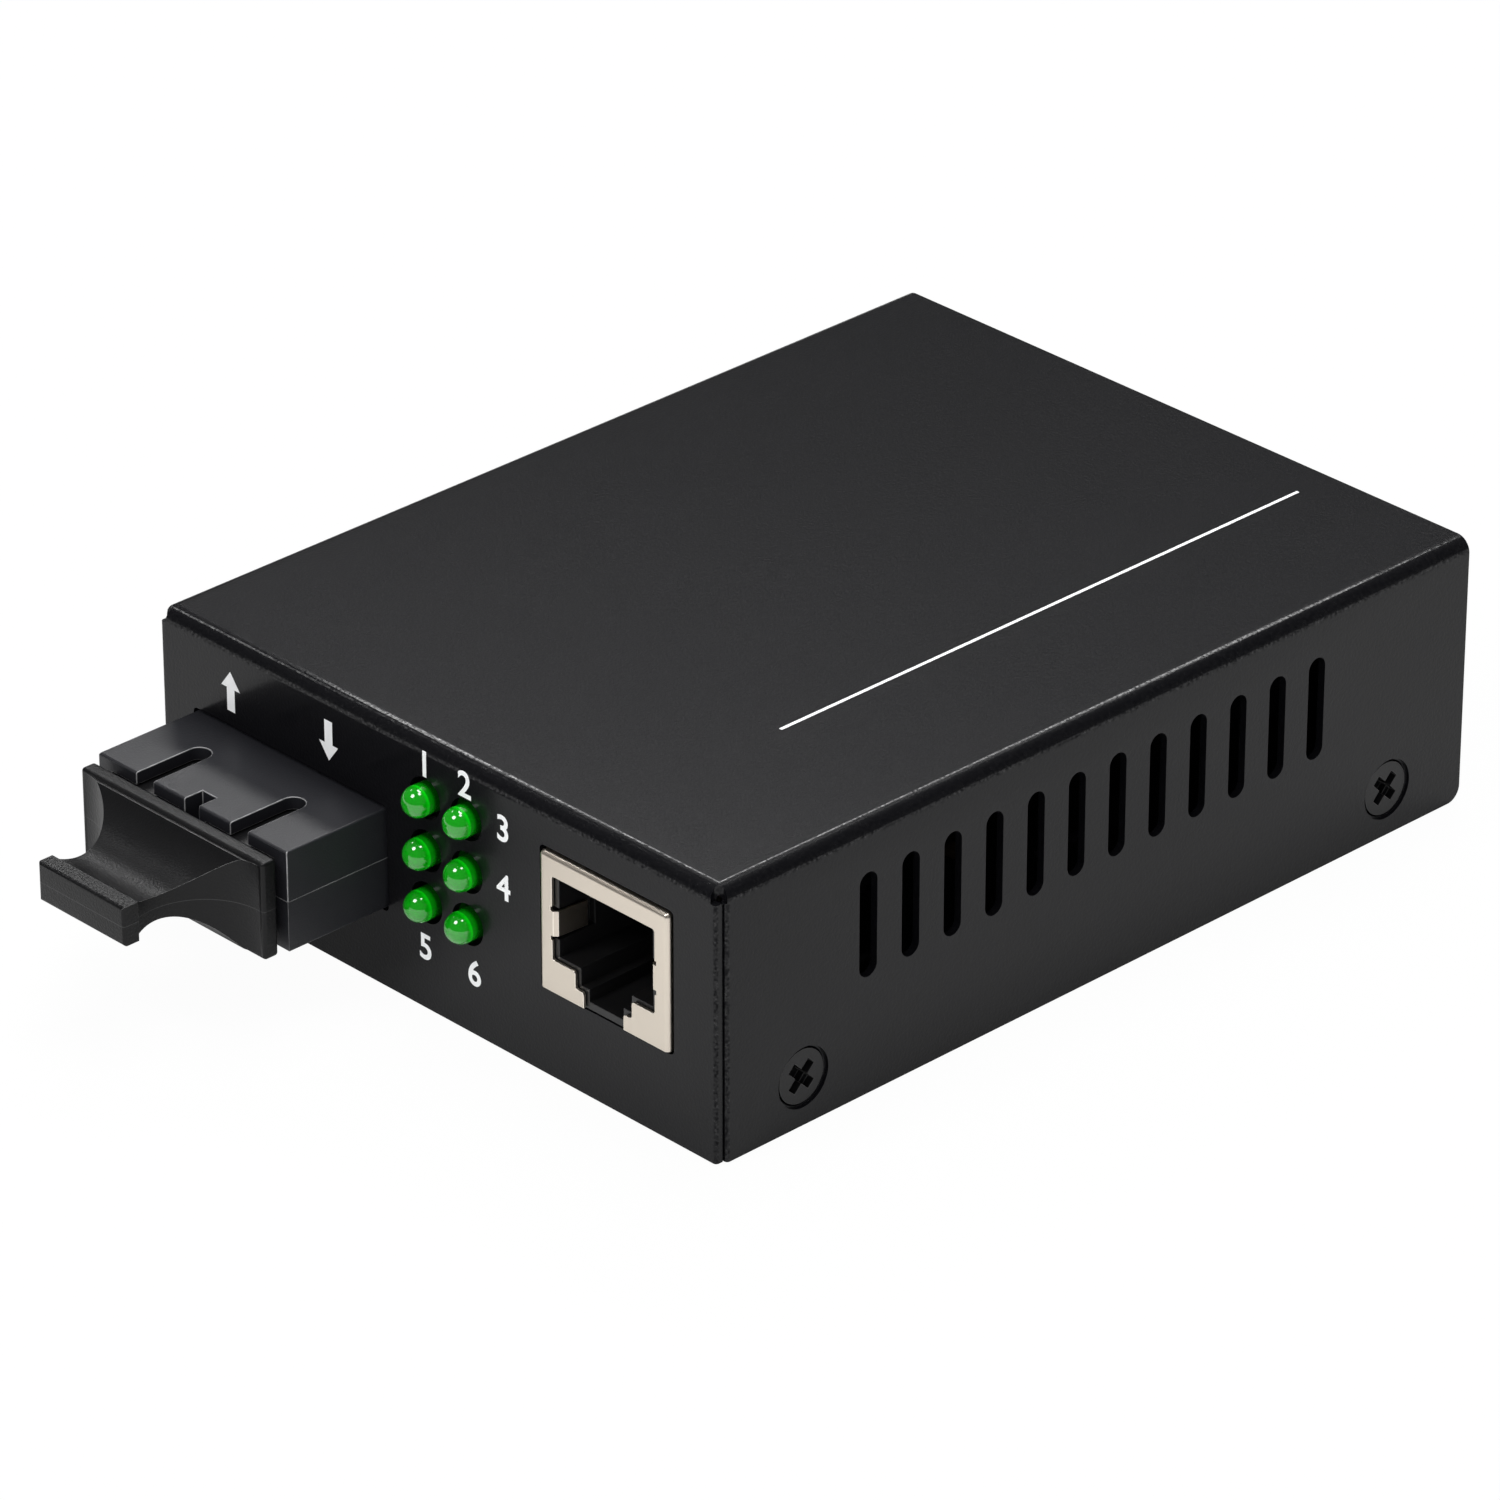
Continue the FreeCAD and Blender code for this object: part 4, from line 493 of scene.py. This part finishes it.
# The pale edge colour here is a painted highlight along the moulding's edges, partly scuffing.
housing_plastic = grained_material(
    "housing_plastic", (0.014, 0.0142, 0.0175), roughness=0.45, grains=5500, hill_height=0.02 * MM,
    specular=0.45, worn_and_lit_edge_colour=(0.3, 0.3, 0.305),
)
for half in ("upper", "lower"):
    finer_copy(f"transceiver_{half}_housing", housing_plastic, rounding=0.08 * MM)
for sleeve in ("transmit_sleeve", "receive_sleeve"):
    dress(sleeve, plated)
gilt = grained_material(
    "gilt_metal", (0.6, 0.42, 0.18), roughness=0.3, grains=2500, hill_height=0.01 * MM, metallic=1.0
)
for gilt_piece in ("transmitter_can", "receiver_can", "transceiver_pins"):
    dress(gilt_piece, gilt)
dress("transceiver_board", laminate)
dress("transceiver_chip", epoxy)


# ---------------------------------------------------------------- indicator lights
# Six cast green epoxy lenses with round domes, held in a black moulded holder, with plated leads
# bent down to the board.

def green_epoxy_painted_light(tip, panel):
    """Tinted clear epoxy with painted light: a bright painted ring where the dome meets the barrel,
    painted shade darkening the barrel towards the panel, and a faint painted glow.
    """
    material = grained_material(
        "green_epoxy_painted_light", (0.001, 0.3, 0.003), roughness=0.1, grains=900, hill_height=0.0005 * MM
    )
    nodes, links = material.node_tree.nodes, material.node_tree.links
    surface = nodes["Principled BSDF"]
    surface.inputs["Coat Weight"].default_value = 1.0
    surface.inputs["Coat Roughness"].default_value = 0.02
    surface.inputs["Coat IOR"].default_value = 1.55
    place = nodes.new("ShaderNodeTexCoord")
    parts = nodes.new("ShaderNodeSeparateXYZ")
    links.new(place.outputs["Object"], parts.inputs[0])
    depth = nodes.new("ShaderNodeMapRange")
    depth.inputs["From Min"].default_value = tip
    depth.inputs["From Max"].default_value = panel
    links.new(parts.outputs["Y"], depth.inputs["Value"])
    # Painted light along the lens: bright in a ring where the dome meets the barrel, painted shade deeper
    # in the barrel.
    painted_light_ramp = nodes.new("ShaderNodeValToRGB")
    stops = painted_light_ramp.color_ramp.elements
    stops[0].position, stops[0].color = 0.0, (0.8, 0.8, 0.8, 1)
    stops[1].position, stops[1].color = 1.0, (0.12, 0.12, 0.12, 1)
    for position, tone in ((0.5, 0.85), (0.6, 1.6), (0.66, 1.8), (0.7, 0.75), (0.85, 0.6)):
        stop = stops.new(position)
        stop.color = (tone, tone, tone, 1)
    links.new(depth.outputs["Result"], painted_light_ramp.inputs[0])
    shade = nodes.new("ShaderNodeMix")
    shade.data_type = "RGBA"
    shade.blend_type = "MULTIPLY"
    shade.inputs["Factor"].default_value = 1.0
    links.new(nodes["tint"].outputs["Result"], shade.inputs["A"])
    links.new(painted_light_ramp.outputs["Color"], shade.inputs["B"])
    links.new(shade.outputs["Result"], surface.inputs["Base Color"])
    # The same colour gives the lens a faint painted glow, though it is no lamp.
    links.new(shade.outputs["Result"], surface.inputs["Emission Color"])
    surface.inputs["Emission Strength"].default_value = 0.3
    return material


lens_epoxy = green_epoxy_painted_light(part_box("light_left_upper")[0][1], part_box("cover")[0][1])
for side in ("left", "right"):
    for row in ("upper", "middle", "lower"):
        finer_copy(f"light_{side}_{row}", lens_epoxy, rounding=0)
dress("light_holder", black_moulding)
dress("light_leads", plated)


# ---------------------------------------------------------------- network socket
# A tinned steel shield folded round a black moulded insert that holds eight gilt spring wires,
# soldered to the board behind its window.

# The bright edge colour here is a painted highlight along the shield's edges, partly rubbed metal.
tinned = grained_material(
    "tinned_shield", (0.72, 0.65, 0.56), roughness=0.34, grains=2200, hill_height=0.007 * MM,
    spread=0.06, metallic=1.0, worn_and_lit_edge_colour=(0.95, 0.88, 0.78),
)
finer_copy("network_jack_shield", tinned, rounding=0.06 * MM)
finer_copy("network_jack_insert", black_moulding, rounding=0.06 * MM)
dress("network_jack_contacts", gilt)


# ---------------------------------------------------------------- cover and case screws
# One folded sheet over top, front and sides, painted like the base, with one long white rule
# printed on the top. Four dark countersunk screws hold it.

def colour_field(material, colour, centre, reach):
    """Lay one colour over a material inside a box, given by its centre and half sizes."""
    nodes, links = material.node_tree.nodes, material.node_tree.links
    place = nodes.new("ShaderNodeTexCoord")
    parts = nodes.new("ShaderNodeSeparateXYZ")
    links.new(place.outputs["Object"], parts.inputs[0])
    mask = None
    for axis, middle, half in zip("XYZ", centre, reach):
        inside = nodes.new("ShaderNodeMath")
        inside.operation = "COMPARE"
        links.new(parts.outputs[axis], inside.inputs[0])
        inside.inputs[1].default_value = middle
        inside.inputs[2].default_value = half
        if mask is None:
            mask = inside.outputs[0]
        else:
            both = nodes.new("ShaderNodeMath")
            both.operation = "MULTIPLY"
            links.new(mask, both.inputs[0])
            links.new(inside.outputs[0], both.inputs[1])
            mask = both.outputs[0]
    surface = nodes["Principled BSDF"]
    field = nodes.new("ShaderNodeMix")
    field.data_type = "RGBA"
    links.new(mask, field.inputs["Factor"])
    links.new(surface.inputs["Base Color"].links[0].from_socket, field.inputs["A"])
    field.inputs["B"].default_value = (*colour, 1)
    links.new(field.outputs["Result"], surface.inputs["Base Color"])


cover_paint = black_paint.copy()
cover_paint.name = "cover_paint"
cover_low, cover_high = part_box("cover")
rule_length = 66.2 * MM
rule_width = 0.36 * MM
rule_to_side = 17.3 * MM
rule_to_rear = 4.35 * MM
rule_centre = (cover_high[0] - rule_to_side, cover_high[1] - rule_to_rear - rule_length / 2, cover_high[2])
rule_reach = (rule_width / 2, rule_length / 2, 0.2 * MM)
colour_field(cover_paint, (0.93, 0.94, 0.95), rule_centre, rule_reach)
finer_copy("cover", cover_paint, rounding=0.1 * MM)
# The lighter edge colour here is a painted highlight on the head's rim, partly rubbed metal.
screw_steel = grained_material(
    "dark_screw_steel", (0.005, 0.005, 0.0055), roughness=0.33, grains=3000, hill_height=0.01 * MM,
    specular=0.1, coat=0.34, coat_roughness=0.1, worn_and_lit_edge_colour=(0.05, 0.05, 0.05),
)
finer_copy("case_screws", screw_steel, rounding=0.05 * MM)


# ---------------------------------------------------------------- printed marks
# White screen print on the front: an arrow out and an arrow in over the two fibre ports, and
# plain numbers round the lights. The ink stands barely proud of the paint.

print_ink = grained_material(
    "white_print_ink", (0.93, 0.94, 0.95), roughness=0.55, grains=5000, hill_height=0.003 * MM, spread=0.03
)
INK_DEPTH = 0.02 * MM


def print_near(node, name, mesh, across, up):
    """Print a flat mesh, drawn in its own x and y, on the front panel, so far from a CAD node's middle."""
    low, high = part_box(node)
    place = ((low[0] + high[0]) / 2 + across, cover_low[1] + INK_DEPTH / 2, (low[2] + high[2]) / 2 + up)
    upright = Matrix.Rotation(math.radians(90), 4, "X")
    mesh.transform(Matrix.Translation(place) @ upright)
    mesh.materials.clear()
    mesh.materials.append(print_ink)
    mark = bpy.data.objects.new(name, mesh)
    scene.collection.objects.link(mark)
    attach(mark, "case")


def arrow_mesh(length, points_up):
    """A flat arrow along y, raised by the depth of the ink."""
    way = 1 if points_up else -1
    tip = length * 0.5 * way
    neck = length * 0.08 * way
    barb = length * 0.315
    stem = length * 0.13
    right_side = [(barb, neck), (stem, neck), (stem, -tip)]
    left_side = [(-x, y) for x, y in reversed(right_side)]
    shape = bmesh.new()
    outline = [(0, tip), *right_side, *left_side]
    face = shape.faces.new([shape.verts.new((x, y, -INK_DEPTH)) for x, y in outline])
    slab = bmesh.ops.extrude_face_region(shape, geom=[face])
    lifted = [part for part in slab["geom"] if isinstance(part, bmesh.types.BMVert)]
    bmesh.ops.translate(shape, verts=lifted, vec=(0, 0, INK_DEPTH * 2))
    bmesh.ops.recalc_face_normals(shape, faces=shape.faces)
    mesh = bpy.data.meshes.new("arrow")
    shape.to_mesh(mesh)
    shape.free()
    return mesh


def number_mesh(text, height):
    """A plain number of the given height, centred on the origin, as a mesh."""
    digits = bpy.data.curves.new("number", "FONT")
    digits.body = text
    digit_share_of_size = 0.7
    digits.size = height / digit_share_of_size
    digits.extrude = INK_DEPTH
    stroke_growth = 0.025
    digits.offset = height * stroke_growth
    digits.align_x = "CENTER"
    digits.align_y = "CENTER"
    holder = bpy.data.objects.new("number", digits)
    scene.collection.objects.link(holder)
    finished = holder.evaluated_get(bpy.context.evaluated_depsgraph_get())
    mesh = bpy.data.meshes.new_from_object(finished)
    bpy.data.objects.remove(holder)
    return mesh


arrow_length = 4.0 * MM
print_near("transmit_sleeve", "arrow_out", arrow_mesh(arrow_length, True), -1.4 * MM, 8.825 * MM)
print_near("receive_sleeve", "arrow_in", arrow_mesh(arrow_length, False), -0.9 * MM, 9.025 * MM)
number_height = 2.5 * MM
for digit, light, across, up in (
    ("1", "light_left_upper", 0.035, 3.26), ("2", "light_right_upper", -0.115, 3.26),
    ("3", "light_right_upper", 4.785, 0.86), ("4", "light_right_middle", 4.785, 0.31),
    ("5", "light_left_lower", -0.265, -4.74), ("6", "light_right_lower", 0.785, -4.74),
):
    print_near(light, "number_" + digit, number_mesh(digit, number_height), across * MM, up * MM)


# ---------------------------------------------------------------- dust plug
# One soft black moulding pushed into both ports, with a waisted grip to pull it out. A fine mould line
# runs round it at mid height, drawn as a thin lighter band that is a painted highlight.

# The pale edge colour here is a painted highlight along the plug's edges, partly scuffing.
plug_rubber = grained_material(
    "plug_rubber", (0.004, 0.004, 0.0045), roughness=0.36, grains=4500, hill_height=0.03 * MM,
    specular=0.24, worn_and_lit_edge_colour=(0.3, 0.3, 0.303),
)
plug_low, plug_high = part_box("dust_plug")
mould_line_centre = [(low + high) / 2 for low, high in zip(plug_low, plug_high)]
mould_line_reach = [high - low for low, high in zip(plug_low[:2], plug_high[:2])] + [0.035 * MM]
# A thin lighter band at mid height: a painted highlight along the mould line.
colour_field(plug_rubber, (0.035, 0.035, 0.036), mould_line_centre, mould_line_reach)
finer_copy("dust_plug", plug_rubber, rounding=0.09 * MM, body="plug")
